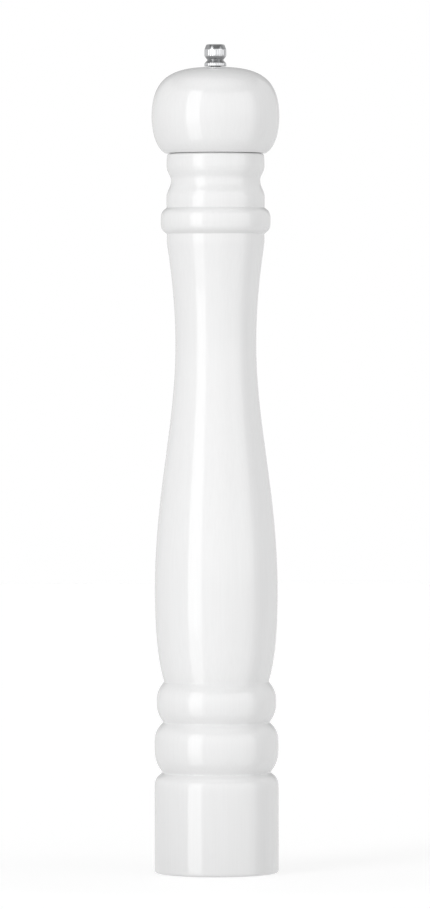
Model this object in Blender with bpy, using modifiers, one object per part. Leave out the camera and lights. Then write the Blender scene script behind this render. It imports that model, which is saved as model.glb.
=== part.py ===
"""Tall turned pepper mill with a ceramic burr mechanism.

The mill stands on its base at the origin, +Z up.  Lengths below are in
millimetres and become metres where a mesh is made.  Turned outlines are
(radius, height) points, heights counted up from the piece's own foot.
"""
import math

import bmesh
import bpy
from mathutils import Matrix, Vector

MM = 0.001

# ---------------------------------------------------------------- driving sizes
TOTAL_HEIGHT = 399.5
BODY_HEIGHT = 347.0
HEAD_HEIGHT = 41.2
HEAD_RADIUS = 30.8
HEAD_WIDEST = 17.3
GAP = 0.3            # between pieces that touch
SEAM = 0.4           # between the head and the body

# Turned stations of the body, (radius, height)
FOOT_RADIUS = 29.95
FOOT_TOP = 39.5
PLINTH_GROOVE = (26.2, 48.6)
LOWER_BEAD = (29.9, 61.8)
BEAD_GROOVE = (25.8, 72.8)
UPPER_BEAD = (28.85, 82.6)
BELLY_GROOVE = (25.3, 92.5)
BELLY = (29.62, 136.0)
WAIST = (19.5, 255.0)
NECK_FOOT = (23.6, 304.5)
NECK_GROOVE = (23.5, 308.0)
NECK_RING = (26.5, 314.7)
COLLAR_GROOVE = (23.65, 321.1)
COLLAR_FOOT = (23.75, 325.4)
COVE = (21.55, 334.3)
COLLAR_TOP = (23.65, 341.6)
COLLAR_LIP = (23.45, 345.5)
TOP_FACE_RADIUS = 22.0
TOP_EDGE = 0.9
GROOVE_FLOOR = 0.6
FOOT_EDGE = 1.2
EASED = 1.0 - math.cos(math.pi / 4)   # share of a rounded edge left at its middle

# How square each bead is, and how far each long curve keeps its end's direction
NECK_RING_ORDER = 3.6
UPPER_BEAD_ORDER = 2.45
LOWER_BEAD_ORDER = 3.0
PLINTH_ORDER = 4.0
COVE_PULLS = (0.55, 0.35)
NECK_PULLS = (0.03, 0.54)
BELLY_PULLS = (0.33, 0.40)
BELLY_DROP = 10.8
GROOVE_SLANT = (3.9, 12.1)

# Bores of the body
CHAMBER_RADIUS = 13.5
MOUTH_RADIUS = 15.2
MOUTH_DEPTH = 18.0
MECHANISM_RADIUS = 17.3
MECHANISM_TOP = 46.0
RECESS_RADIUS = 23.6
RECESS_TOP = 14.0
PILOT_RADIUS = 1.75
PILOT_TOP = 31.0
BUSH_RADIUS = 13.1
BUSH_LIFT = 0.4

# Head, below and inside
CROWN_PULL = 22.9
SHOULDER_PULL = 34.4
CHEEK_PULL = 14.0
JAW_PULL = (30.3, 3.5)
UNDERSIDE_RADIUS = 24.3
TENON_RADIUS = 12.7
TENON_LENGTH = 14.4
TENON_EDGE = 1.0
HEAD_BORE = 5.0
HEAD_BORE_TOP = 33.6
STUD_HOLE = 3.0
HEAD_PILOT_RADIUS = 1.45
HEAD_PILOT_DEPTH = 10.0

# Adjusting nut: (radius, depth below its top), from the top face to the foot flange
NUT_SIDE = [
    (4.1, 0.0),
    (4.45, 0.3),
    (5.2, 2.35),
    (5.3, 2.8),
    (5.3, 5.4),
    (5.15, 5.8),
    (3.9, 7.4),
    (3.9, 7.7),
    (5.15, 9.0),
    (5.3, 9.3),
]
NUT_RADIUS = 5.3
NUT_EDGE = 0.2
NUT_LIFT = 0.35
NUT_ROOF = 1.9

# Shaft
SHAFT_SIDE = 5.5
SHAFT_FOOT = 13.2
SHAFT_SHOULDER = 378.0
STUD_RADIUS = 2.5
STUD_TOP = 394.5
STUD_EDGE = 0.5
JOURNAL_EDGE = 0.4
JOURNAL_RADIUS = 2.4
JOURNAL_FOOT = 7.4
CLIP_GROOVE_RADIUS = 1.8
CLIP_GROOVE = (10.9, 12.1)
SLIDING_SQUARE = 5.9  # square holes that slide on the shaft
DRIVEN_SQUARE = 5.8   # square hole that is keyed to the shaft

# Mechanism
RECESS_SCREW_CIRCLE = 20.3
RECESS_SCREW = (2.7, 1.5, 1.4)   # head radius, head height, shank radius
RECESS_SCREW_LENGTH = 20.5
SCREW_HOLE = 1.8
FLANGE_RADIUS = 23.2
FLANGE = (11.0, 13.7)
BARREL_RADIUS = 17.0
BARREL_TOP = 45.7
BARREL_WALL = (15.5, 16.3)       # radii of the barrel's thin upper rim
POCKET_RADIUS = 15.1
POCKET_TOP = 33.3
THROAT_RADIUS = 12.2
THROAT_HEIGHT = 1.7
FLANGE_EDGE = 0.5
HUB = (41.0, 45.0)
HUB_RADIUS = 6.2
HUB_BORE = 4.4
SPOKES = 3
SPOKE_WIDTH = 2.4
SPOKE_SPAN = (5.0, 15.9)
STATOR_RADIUS = 14.8
STATOR = (11.0, 33.0)
KEYS = 4
KEY_WIDTH = 4.0
KEY_DEPTH = 2.0
KEY_RADIUS = 15.7
KEYS_FOOT = 14.0
KEYS_TOP = 30.0
ROTOR = (13.6, 28.5)
CORE = (13.2, 28.8)
CORE_RADIUS = 5.6
BREAK_HEIGHT = 21.5   # where the coarse teeth give way to the fine ones
BREAK_STEP = 0.8
FINE_DEPTH = 0.6
FINE_TWIST = 8.0
COARSE_TWIST = 32.0
FINE_TEETH = 24
COARSE_TEETH = 12
TOOTH_STEPS = 48      # points round a toothed section
WASHER_HOLE = 2.7
ROTOR_WASHER_RADIUS = 5.0
SPRING_WASHER_RADIUS = 6.0
WASHER_THICK = 0.8
CLIP_RADIUS = 4.6
CLIP_MOUTH = 3.0
SPRING = (29.1, 39.6)
SPRING_RADIUS = 4.75
SPRING_WIRE = 0.45
SPRING_TURNS = 5.5
SPRING_END_TURN = 0.75
SPRING_END_PITCH = 2.15          # in wire radii
SPRING_TURN_STEPS = 10
BRIDGE = (8.4, 10.7)
BRIDGE_LENGTH = 45.6
BRIDGE_WIDTH = 9.0
BRIDGE_BOSS = 6.5
BRIDGE_CORNER = 4.05
BRIDGE_BORE = 2.75

# Drive plate
PLATE_RADIUS = 12.0
PLATE_THICK = 1.5
PLATE_HOLE = 1.5
PLATE_SCREW_CIRCLE = 8.4
PLATE_SCREW = (2.2, 1.4, 1.1)    # head radius, head height, shank radius
PLATE_SCREW_TOP = 6.0            # below the head's underside

# Steps round a turned piece and along its curves
WOOD_STEPS = 32
PART_STEPS = 24
SMALL_STEPS = 12
EDGE_STEPS = 3
BEAD_STEPS = 4
SHORT_CURVE_STEPS = 5
LONG_CURVE_STEPS = 8
DOME_STEPS = 9

PAST = 1.0           # how far a tool runs past the piece that it cuts or joins

MODEL = "pepper_mill"
HEAD_SEAT = BODY_HEIGHT + SEAM
PLATE_TOP = HEAD_SEAT - TENON_LENGTH - GAP


# ---------------------------------------------------------------- scene set-up
def clear_scene():
    for obj in list(bpy.data.objects):
        bpy.data.objects.remove(obj, do_unlink=True)


def new_collection(name):
    collection = bpy.data.collections.new(name)
    bpy.context.scene.collection.children.link(collection)
    return collection


def new_material(name, colour, roughness, metallic=0.0):
    material = bpy.data.materials.new(name)
    material.use_nodes = True
    shader = material.node_tree.nodes["Principled BSDF"]
    shader.inputs["Base Color"].default_value = (*colour, 1.0)
    shader.inputs["Roughness"].default_value = roughness
    shader.inputs["Metallic"].default_value = metallic
    return material


def new_object(name, mesh, height=0.0, material=None):
    """An object standing on the mill's axis at a height."""
    obj = bpy.data.objects.new(name, mesh)
    obj.location = (0.0, 0.0, height * MM)
    if material:
        mesh.materials.append(material)
        parts.objects.link(obj)
    return obj


def new_axis(name, height=0.0, parent=None):
    """An empty on the mill's axis that moving pieces hang from."""
    empty = bpy.data.objects.new(name, None)
    empty.empty_display_size = 20.0 * MM
    parts.objects.link(empty)
    attach(empty, parent, height)
    return empty


def attach(obj, parent, height=None):
    """Parent an object and keep it at its height above the base."""
    if height is None:
        height = obj.location.z / MM
    base = height_above_base(parent)
    obj.parent = parent
    obj.location.z = (height - base) * MM


def height_above_base(obj):
    height = 0.0
    while obj:
        height += obj.location.z / MM
        obj = obj.parent
    return height


def as_tool(obj):
    """Keep a cutter or a joining tool out of the model."""
    obj.hide_render = True
    obj.display_type = "WIRE"
    tools.objects.link(obj)
    return obj


# ---------------------------------------------------------------- outlines
def bezier(start, pull_start, pull_end, end, steps):
    """Points of a cubic curve, without its first point."""
    points = []
    for step in range(1, steps + 1):
        t = step / steps
        weights = ((1 - t) ** 3, 3 * t * (1 - t) ** 2, 3 * t * t * (1 - t), t ** 3)
        radius = sum(w * p[0] for w, p in zip(weights, (start, pull_start, pull_end, end)))
        height = sum(w * p[1] for w, p in zip(weights, (start, pull_start, pull_end, end)))
        points.append((radius, height))
    return points


def ogee(start, end, steps, start_pull=0.45, end_pull=0.45):
    """A smooth S between two radii, both ends running along the axis."""
    drop = end[1] - start[1]
    pull_start = (start[0], start[1] + start_pull * drop)
    pull_end = (end[0], end[1] - end_pull * drop)
    return bezier(start, pull_start, pull_end, end, steps)


def swell(groove, crest, order):
    """Half a bead from its groove to its crest; a higher order is squarer."""
    points = []
    for step in range(1, BEAD_STEPS + 1):
        away = 1.0 - step / BEAD_STEPS
        radius = crest[0] - (crest[0] - groove[0]) * away ** order
        height = crest[1] + (groove[1] - crest[1]) * away
        points.append((radius, height))
    return points


def fall(crest, groove, order):
    """The other half of a bead, from its crest down to its groove."""
    rising = swell(groove, crest, order)
    points = list(reversed(rising[:-1]))
    return points + [groove]


def shifted(point, lift):
    return (point[0], point[1] + lift)


def groove_floor(point):
    """The two ends of a groove's narrow floor, upper one first."""
    return shifted(point, GROOVE_FLOOR / 2), shifted(point, -GROOVE_FLOOR / 2)


def bead(upper_groove, crest, lower_groove, order):
    """A whole bead, down from one groove's floor to the next one's."""
    start = groove_floor(upper_groove)[1]
    end = groove_floor(lower_groove)[0]
    return [start] + swell(start, crest, order) + fall(crest, end, order)


# ---------------------------------------------------------------- modelling
def turned(name, outline, steps, height=0.0, material=None):
    """A closed outline turned about the mill's axis."""
    mesh = bpy.data.meshes.new(name)
    vertices = [(radius * MM, 0.0, level * MM) for radius, level in outline]
    count = len(vertices)
    on_axis = outline[0][0] == 0.0 and outline[-1][0] == 0.0
    edges = [(i, i + 1) for i in range(count - 1)]
    if not on_axis:
        edges.append((count - 1, 0))
    mesh.from_pydata(vertices, edges, [])
    obj = new_object(name, mesh, height, material)
    screw = obj.modifiers.new("turn", "SCREW")
    screw.axis = "Z"
    screw.angle = math.tau
    screw.steps = steps
    screw.render_steps = steps
    screw.use_merge_vertices = True
    screw.merge_threshold = 0.00001
    screw.use_smooth_shade = True
    return obj


def ring(name, inner, outer, low, high, steps, material=None):
    """A plain washer, bush or tube whose foot is at its own origin."""
    tall = high - low
    outline = [(outer, tall), (outer, 0.0), (inner, 0.0), (inner, tall)]
    return turned(name, outline, steps, low, material)


def drum(name, radius, low, high, steps, material=None):
    """A plain solid cylinder whose foot is at its own origin."""
    mesh = bpy.data.meshes.new(name)
    tall = (high - low) * MM
    shape = bmesh.new()
    lift = Matrix.Translation((0.0, 0.0, tall / 2))
    bmesh.ops.create_cone(shape, cap_ends=True, segments=steps, radius1=radius * MM,
                          radius2=radius * MM, depth=tall, matrix=lift)
    shape.to_mesh(mesh)
    shape.free()
    return new_object(name, mesh, low, material)


def block(name, size, low, centre=(0.0, 0.0), material=None):
    """A box given by its size, its foot's height and its centre in plan."""
    mesh = bpy.data.meshes.new(name)
    shape = bmesh.new()
    bmesh.ops.create_cube(shape, size=1.0)
    bmesh.ops.scale(shape, vec=Vector(size) * MM, verts=shape.verts)
    lift = Vector((centre[0], centre[1], size[2] / 2)) * MM
    bmesh.ops.translate(shape, vec=lift, verts=shape.verts)
    shape.to_mesh(mesh)
    shape.free()
    return new_object(name, mesh, low, material)


def boolean(obj, tool, operation):
    modifier = obj.modifiers.new(tool.name, "BOOLEAN")
    modifier.operation = operation
    modifier.solver = "EXACT"
    modifier.object = as_tool(tool)


def cut(obj, tool):
    boolean(obj, tool, "DIFFERENCE")


def join(obj, tool):
    boolean(obj, tool, "UNION")


def drill(obj, label, centres, radius, low, high):
    """Round upright holes, each with a flat of its facets facing the axis."""
    for index, (x, y) in enumerate(centres):
        hole = drum(f"{label}_{index}", radius, low, high, SMALL_STEPS)
        hole.rotation_euler.z = math.pi / SMALL_STEPS
        move_in_plan(hole, x, y)
        cut(obj, hole)


def move_in_plan(obj, x, y):
    obj.location.x = x * MM
    obj.location.y = y * MM


def smooth_round(obj, angle=35.0):
    """Shade a primitive smooth except at its edges."""
    obj.data.shade_smooth()
    obj.data.set_sharp_from_angle(angle=math.radians(angle))


def spread(count, radius, start=0.0):
    """Centres of equal holes round a circle."""
    for index in range(count):
        angle = start + math.tau * index / count
        yield radius * math.cos(angle), radius * math.sin(angle)


# ---------------------------------------------------------------- wooden pieces
def body_outer_side():
    """The body's outside, from its top face down to its foot."""
    outline = [(TOP_FACE_RADIUS, BODY_HEIGHT)]
    edge_top = (TOP_FACE_RADIUS + TOP_EDGE, BODY_HEIGHT)
    edge_side = shifted(COLLAR_LIP, TOP_EDGE)
    outline += bezier(outline[0], edge_top, edge_side, COLLAR_LIP, EDGE_STEPS)
    outline += [COLLAR_TOP]
    outline += ogee(COLLAR_TOP, COVE, BEAD_STEPS, *COVE_PULLS)
    outline += ogee(COVE, COLLAR_FOOT, BEAD_STEPS)
    outline += [groove_floor(COLLAR_GROOVE)[0]]
    outline += bead(COLLAR_GROOVE, NECK_RING, NECK_GROOVE, NECK_RING_ORDER)
    outline += [groove_floor(NECK_GROOVE)[1], NECK_FOOT]
    outline += ogee(NECK_FOOT, WAIST, SHORT_CURVE_STEPS, *NECK_PULLS)
    outline += ogee(WAIST, BELLY, LONG_CURVE_STEPS, *BELLY_PULLS)
    outline += belly_to_groove()
    outline += bead(BELLY_GROOVE, UPPER_BEAD, BEAD_GROOVE, UPPER_BEAD_ORDER)
    outline += bead(BEAD_GROOVE, LOWER_BEAD, PLINTH_GROOVE, LOWER_BEAD_ORDER)
    outline += plinth_side()
    return outline


def belly_to_groove():
    """The belly's lower half, which meets its groove on a slant."""
    end = groove_floor(BELLY_GROOVE)[0]
    pull_start = shifted(BELLY, -BELLY_DROP)
    pull_end = (end[0] + GROOVE_SLANT[0], end[1] + GROOVE_SLANT[1])
    return bezier(BELLY, pull_start, pull_end, end, SHORT_CURVE_STEPS)


def plinth_side():
    """The plinth's rounded shoulder, straight side and eased foot."""
    start = groove_floor(PLINTH_GROOVE)[1]
    shoulder = swell(start, (FOOT_RADIUS, FOOT_TOP), PLINTH_ORDER)
    side_end = (FOOT_RADIUS, FOOT_EDGE)
    eased = (FOOT_RADIUS - FOOT_EDGE * EASED, FOOT_EDGE * EASED)
    foot = (FOOT_RADIUS - FOOT_EDGE, 0.0)
    return [start] + shoulder + [side_end, eased, foot]


def body_bore():
    """The inside of the body, from the foot up to the mouth."""
    return [
        (RECESS_RADIUS, 0.0),
        (RECESS_RADIUS, RECESS_TOP),
        (MECHANISM_RADIUS, RECESS_TOP),
        (MECHANISM_RADIUS, MECHANISM_TOP),
        (CHAMBER_RADIUS, MECHANISM_TOP),
        (CHAMBER_RADIUS, BODY_HEIGHT - MOUTH_DEPTH),
        (MOUTH_RADIUS, BODY_HEIGHT - MOUTH_DEPTH),
        (MOUTH_RADIUS, BODY_HEIGHT),
    ]


def make_body():
    outline = body_outer_side() + body_bore()
    body = turned("body", outline, WOOD_STEPS, 0.0, LACQUER)
    centres = spread(4, RECESS_SCREW_CIRCLE)
    drill(body, "body_pilot", centres, PILOT_RADIUS, RECESS_TOP - PAST, PILOT_TOP)
    return body


def head_outline():
    """The dome, its underside, its tenon and its stepped bore."""
    widest = (HEAD_RADIUS, HEAD_WIDEST)
    crown_pull = (CROWN_PULL, HEAD_HEIGHT)
    shoulder_pull = (HEAD_RADIUS, SHOULDER_PULL)
    cheek_pull = (HEAD_RADIUS, CHEEK_PULL)
    underside = (UNDERSIDE_RADIUS, 0.0)
    outline = [(STUD_HOLE, HEAD_HEIGHT)]
    outline += bezier(outline[0], crown_pull, shoulder_pull, widest, DOME_STEPS)
    outline += bezier(widest, cheek_pull, JAW_PULL, underside, DOME_STEPS)
    outline += [
        (TENON_RADIUS, 0.0),
        (TENON_RADIUS, TENON_EDGE - TENON_LENGTH),
        (TENON_RADIUS - TENON_EDGE, -TENON_LENGTH),
        (HEAD_BORE, -TENON_LENGTH),
        (HEAD_BORE, HEAD_BORE_TOP),
        (STUD_HOLE, HEAD_BORE_TOP),
    ]
    return outline


def make_head():
    head = turned("head", head_outline(), WOOD_STEPS, HEAD_SEAT, LACQUER)
    tenon_foot = HEAD_SEAT - TENON_LENGTH
    centres = spread(2, PLATE_SCREW_CIRCLE)
    pilot_top = tenon_foot + HEAD_PILOT_DEPTH
    drill(head, "head_pilot", centres, HEAD_PILOT_RADIUS, tenon_foot - PAST, pilot_top)
    return head


def make_mouth_bush():
    low = BODY_HEIGHT - MOUTH_DEPTH + BUSH_LIFT
    high = BODY_HEIGHT - GAP
    outer = MOUTH_RADIUS - GAP
    return ring("mouth_bush", BUSH_RADIUS, outer, low, high, WOOD_STEPS, BLACK_NYLON)


# ---------------------------------------------------------------- nut and drive
def make_top_nut():
    """A chamfered knob with a V groove above its foot and a blind thread."""
    foot = HEAD_SEAT + HEAD_HEIGHT + NUT_LIFT
    tall = TOTAL_HEIGHT - foot
    bore = STUD_RADIUS + GAP
    outline = [(0.0, tall)]
    outline += [(radius, tall - depth) for radius, depth in NUT_SIDE]
    outline += [
        (NUT_RADIUS, NUT_EDGE),
        (NUT_RADIUS - NUT_EDGE, 0.0),
        (bore + GAP, 0.0),
        (bore, GAP),
        (bore, tall - NUT_ROOF),
        (0.0, tall - NUT_ROOF),
    ]
    return turned("top_nut", outline, PART_STEPS, foot, CHROME)


def square_hole(name, side, low, high):
    tall = high - low + 2 * PAST
    return block(name, (side, side, tall), low - PAST)


def make_drive_plate():
    low = PLATE_TOP - PLATE_THICK
    plate = drum("drive_plate", PLATE_RADIUS, low, PLATE_TOP, PART_STEPS, STEEL)
    smooth_round(plate)
    cut(plate, square_hole("plate_square", SLIDING_SQUARE, low, PLATE_TOP))
    centres = spread(2, PLATE_SCREW_CIRCLE)
    drill(plate, "plate_hole", centres, PLATE_HOLE, low - PAST, PLATE_TOP + PAST)
    return plate


def make_shaft():
    """A square rod with a round stud above and a grooved journal below."""
    rod_size = (SHAFT_SIDE, SHAFT_SIDE, SHAFT_SHOULDER - SHAFT_FOOT)
    shaft = block("shaft", rod_size, SHAFT_FOOT, material=ALUMINIUM)
    stud_foot = SHAFT_SHOULDER - PAST
    stud_tall = STUD_TOP - stud_foot
    stud_outline = [
        (0.0, stud_tall),
        (STUD_RADIUS - STUD_EDGE, stud_tall),
        (STUD_RADIUS, stud_tall - STUD_EDGE),
        (STUD_RADIUS, 0.0),
        (0.0, 0.0),
    ]
    join(shaft, turned("shaft_stud", stud_outline, PART_STEPS, stud_foot))
    groove_low = CLIP_GROOVE[0] - JOURNAL_FOOT
    groove_high = CLIP_GROOVE[1] - JOURNAL_FOOT
    journal_tall = SHAFT_FOOT - JOURNAL_FOOT + PAST
    journal_outline = [
        (0.0, journal_tall),
        (JOURNAL_RADIUS, journal_tall),
        (JOURNAL_RADIUS, groove_high),
        (CLIP_GROOVE_RADIUS, groove_high),
        (CLIP_GROOVE_RADIUS, groove_low),
        (JOURNAL_RADIUS, groove_low),
        (JOURNAL_RADIUS, JOURNAL_EDGE),
        (JOURNAL_RADIUS - JOURNAL_EDGE, 0.0),
        (0.0, 0.0),
    ]
    join(shaft, turned("shaft_journal", journal_outline, PART_STEPS, JOURNAL_FOOT))
    return shaft


# ---------------------------------------------------------------- screws
def make_screw(name, head_foot, shank_top, x, y, sizes):
    """A pan-head wood screw driven upwards: head below, point above."""
    head_radius, head_tall, shank_radius = sizes
    tall = shank_top - head_foot
    outline = [
        (0.0, tall),
        (shank_radius, tall - 2.5 * shank_radius),
        (shank_radius, head_tall),
        (head_radius, head_tall),
        (head_radius, head_tall * 0.45),
        (head_radius * 0.72, head_tall * 0.1),
        (head_radius * 0.4, 0.0),
        (0.0, 0.0),
    ]
    screw = turned(name, outline, SMALL_STEPS, head_foot, STEEL)
    move_in_plan(screw, x, y)
    slot_depth = head_tall * 0.55
    for turn in range(2):
        long_side = head_radius * 1.1
        short_side = head_radius * 0.24
        size = (long_side, short_side) if turn == 0 else (short_side, long_side)
        slot = block(f"{name}_slot_{turn}", (*size, slot_depth + PAST), head_foot - PAST)
        move_in_plan(slot, x, y)
        cut(screw, slot)
    return screw


def make_drive_plate_screws():
    head_top = PLATE_TOP - PLATE_THICK - GAP
    screws = []
    for index, (x, y) in enumerate(spread(2, PLATE_SCREW_CIRCLE), start=1):
        name = f"drive_plate_screw_{index}"
        low = head_top - PLATE_SCREW[1]
        shank_top = HEAD_SEAT - PLATE_SCREW_TOP
        screws.append(make_screw(name, low, shank_top, x, y, PLATE_SCREW))
    return screws


def make_recess_screws():
    """Two screws through the bridge and two through the flange only."""
    screws = []
    for index, (x, y) in enumerate(spread(4, RECESS_SCREW_CIRCLE)):
        through_bridge = index % 2 == 0
        kind = "bridge_screw" if through_bridge else "housing_screw"
        clamped = BRIDGE[0] if through_bridge else FLANGE[0]
        low = clamped - GAP - RECESS_SCREW[1]
        name = f"{kind}_{index // 2 + 1}"
        screws.append(make_screw(name, low, low + RECESS_SCREW_LENGTH, x, y, RECESS_SCREW))
    return screws


# ---------------------------------------------------------------- burr mechanism
def tooth_depth(index, teeth):
    """0 on a tooth's tip and 1 in its valley, for a point of a section."""
    along = (index * teeth / TOOTH_STEPS) % 1.0
    return 1.0 - abs(2.0 * along - 1.0)


def toothed_section(shape, level, tip, depth, teeth, twist):
    """One ring of points of a toothed solid; depth is signed, inwards positive."""
    ring_vertices = []
    for index in range(TOOTH_STEPS):
        angle = math.tau * index / TOOTH_STEPS + math.radians(twist)
        radius = tip - depth * tooth_depth(index, teeth)
        point = Vector((radius * math.cos(angle), radius * math.sin(angle), level))
        ring_vertices.append(shape.verts.new(point * MM))
    return ring_vertices


def toothed_solid(name, sections, low, material=None):
    """A loft through toothed sections, closed at both ends, built upwards."""
    mesh = bpy.data.meshes.new(name)
    shape = bmesh.new()
    rings = []
    for level, tip, depth, teeth, twist in sections:
        rings.append(toothed_section(shape, level - low, tip, depth, teeth, twist))
    for lower, upper in zip(rings, rings[1:]):
        for index in range(TOOTH_STEPS):
            following = (index + 1) % TOOTH_STEPS
            shape.faces.new((lower[index], lower[following], upper[following], upper[index]))
    shape.faces.new(list(reversed(rings[0])))
    shape.faces.new(rings[-1])
    shape.to_mesh(mesh)
    shape.free()
    return new_object(name, mesh, low, material)


def make_rotor():
    """A cone, wide end down: fine teeth below, coarse helical ones above."""
    sections = [
        (ROTOR[0], 11.6, FINE_DEPTH, FINE_TEETH, 0.0),
        (ROTOR[0] + GAP, 11.8, FINE_DEPTH, FINE_TEETH, 0.0),
        (BREAK_HEIGHT, 9.5, FINE_DEPTH, FINE_TEETH, FINE_TWIST),
        (BREAK_HEIGHT + BREAK_STEP, 9.2, 1.0, COARSE_TEETH, FINE_TWIST + 1.0),
        (ROTOR[1], 7.6, 1.2, COARSE_TEETH, COARSE_TWIST),
    ]
    rotor = toothed_solid("rotor", sections, ROTOR[0], CERAMIC)
    hexagon = drum("rotor_hexagon", CORE_RADIUS + GAP, ROTOR[0] - PAST, ROTOR[1] + PAST, 6)
    cut(rotor, hexagon)
    return rotor


def make_stator():
    """A ring whose inside narrows to the break and opens again below it."""
    stator = drum("stator", STATOR_RADIUS, STATOR[0], STATOR[1], PART_STEPS, CERAMIC)
    smooth_round(stator)
    for index in range(KEYS):
        angle = math.tau * (index + 0.5) / KEYS
        size = (KEY_DEPTH, KEY_WIDTH, KEYS_TOP - KEYS_FOOT)
        key = block(f"stator_key_{index}", size, KEYS_FOOT, (KEY_RADIUS - KEY_DEPTH / 2, 0.0))
        key.rotation_euler.z = angle
        join(stator, key)
    sections = [
        (STATOR[0] - PAST, 13.3, -FINE_DEPTH, FINE_TEETH, 0.0),
        (STATOR[0] + PAST, 13.3, -FINE_DEPTH, FINE_TEETH, 0.0),
        (ROTOR[0] + GAP, 12.7, -FINE_DEPTH, FINE_TEETH, 0.0),
        (BREAK_HEIGHT, 10.4, -FINE_DEPTH, FINE_TEETH, -FINE_TWIST),
        (BREAK_HEIGHT + BREAK_STEP, 10.5, -1.0, COARSE_TEETH, -FINE_TWIST - 1.0),
        (STATOR[1] + PAST, 12.0, -1.2, COARSE_TEETH, -COARSE_TWIST),
    ]
    cut(stator, toothed_solid("stator_inside", sections, STATOR[0] - PAST))
    return stator


def make_rotor_core():
    core = drum("rotor_core", CORE_RADIUS, CORE[0], CORE[1], 6, BLACK_NYLON)
    cut(core, square_hole("core_square", DRIVEN_SQUARE, CORE[0], CORE[1]))
    return core


def make_rotor_washer():
    low = CLIP_GROOVE[1]
    high = low + WASHER_THICK
    return ring("rotor_washer", WASHER_HOLE, ROTOR_WASHER_RADIUS, low, high, PART_STEPS, STEEL)


def make_shaft_clip():
    """An open retaining ring that snaps sideways into the journal's groove."""
    low = CLIP_GROOVE[0] + GAP
    high = CLIP_GROOVE[1] - GAP
    inner = CLIP_GROOVE_RADIUS + GAP
    clip = ring("shaft_clip", inner, CLIP_RADIUS, low, high, PART_STEPS, STEEL)
    size = (CLIP_MOUTH, CLIP_RADIUS + PAST, high - low + 2 * PAST)
    mouth = block("clip_mouth", size, low - PAST, (0.0, size[1] / 2 + PAST))
    cut(clip, mouth)
    return clip


def make_spring_washer():
    high = HUB[0] - GAP
    low = high - WASHER_THICK
    washer = drum("spring_washer", SPRING_WASHER_RADIUS, low, high, PART_STEPS, STEEL)
    smooth_round(washer)
    cut(washer, square_hole("washer_square", SLIDING_SQUARE, low, high))
    return washer


def spring_point(share):
    """The wire's middle, share of the way up; the end turns lie close."""
    low = SPRING[0] + SPRING_WIRE
    high = SPRING[1] - SPRING_WIRE
    angle = math.tau * SPRING_TURNS * share
    end_turn = SPRING_END_TURN / SPRING_TURNS
    closed = SPRING_END_PITCH * SPRING_WIRE * SPRING_END_TURN
    inner = (share - end_turn) / (1.0 - 2.0 * end_turn)
    if share < end_turn:
        level = low + closed * share / end_turn
    elif share > 1.0 - end_turn:
        level = high - closed * (1.0 - share) / end_turn
    else:
        level = low + closed + (high - low - 2.0 * closed) * inner
    x = SPRING_RADIUS * math.cos(angle)
    y = SPRING_RADIUS * math.sin(angle)
    return x, y, level - SPRING[0]


def make_spring():
    """Round wire wound into a coil round the shaft."""
    curve = bpy.data.curves.new("spring", "CURVE")
    curve.dimensions = "3D"
    curve.bevel_depth = SPRING_WIRE * MM
    curve.bevel_resolution = 2
    curve.use_fill_caps = True
    spline = curve.splines.new("POLY")
    steps = round(SPRING_TURNS * SPRING_TURN_STEPS)
    spline.points.add(steps)
    for index, point in enumerate(spline.points):
        x, y, level = spring_point(index / steps)
        point.co = (x * MM, y * MM, level * MM, 1.0)
    curve.materials.append(STEEL)
    spring = bpy.data.objects.new("spring", curve)
    spring.location.z = SPRING[0] * MM
    parts.objects.link(spring)
    return spring


def make_housing():
    """A flanged barrel with a pocket for the stator and a spoked hub above."""
    foot = FLANGE[0]
    outline = [
        (BARREL_WALL[1], BARREL_TOP - foot),
        (BARREL_RADIUS, BARREL_TOP - foot - FLANGE_EDGE),
        (BARREL_RADIUS, FLANGE[1] - foot),
        (FLANGE_RADIUS, FLANGE[1] - foot),
        (FLANGE_RADIUS, FLANGE_EDGE),
        (FLANGE_RADIUS - FLANGE_EDGE, 0.0),
        (POCKET_RADIUS, 0.0),
        (POCKET_RADIUS, POCKET_TOP - foot),
        (THROAT_RADIUS, POCKET_TOP - foot),
        (THROAT_RADIUS, POCKET_TOP - foot + THROAT_HEIGHT),
        (BARREL_WALL[0], BARREL_TOP - foot),
    ]
    housing = turned("housing", outline, PART_STEPS, foot, BLACK_NYLON)
    add_hub(housing)
    cut_key_slots(housing)
    centres = spread(4, RECESS_SCREW_CIRCLE)
    drill(housing, "flange_hole", centres, SCREW_HOLE, FLANGE[0] - PAST, FLANGE[1] + PAST)
    return housing


def add_hub(housing):
    """Three spokes carry a round hub that the spring pushes up against."""
    tall = HUB[1] - HUB[0]
    start, end = SPOKE_SPAN
    for index in range(SPOKES):
        size = (end - start, SPOKE_WIDTH, tall)
        spoke = block(f"housing_spoke_{index}", size, HUB[0], ((start + end) / 2, 0.0))
        spoke.rotation_euler.z = math.tau * index / SPOKES
        join(housing, spoke)
    join(housing, drum("housing_hub", HUB_RADIUS, HUB[0], HUB[1], PART_STEPS))
    cut(housing, drum("housing_hub_bore", HUB_BORE, HUB[0] - PAST, HUB[1] + PAST, PART_STEPS))


def cut_key_slots(housing):
    for index in range(KEYS):
        angle = math.tau * (index + 0.5) / KEYS
        size = (KEY_DEPTH, KEY_WIDTH + 2 * GAP, KEYS_TOP + GAP - FLANGE[0] + PAST)
        centre = (KEY_RADIUS + GAP - KEY_DEPTH / 2, 0.0)
        slot = block(f"housing_slot_{index}", size, FLANGE[0] - PAST, centre)
        slot.rotation_euler.z = angle
        cut(housing, slot)


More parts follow.
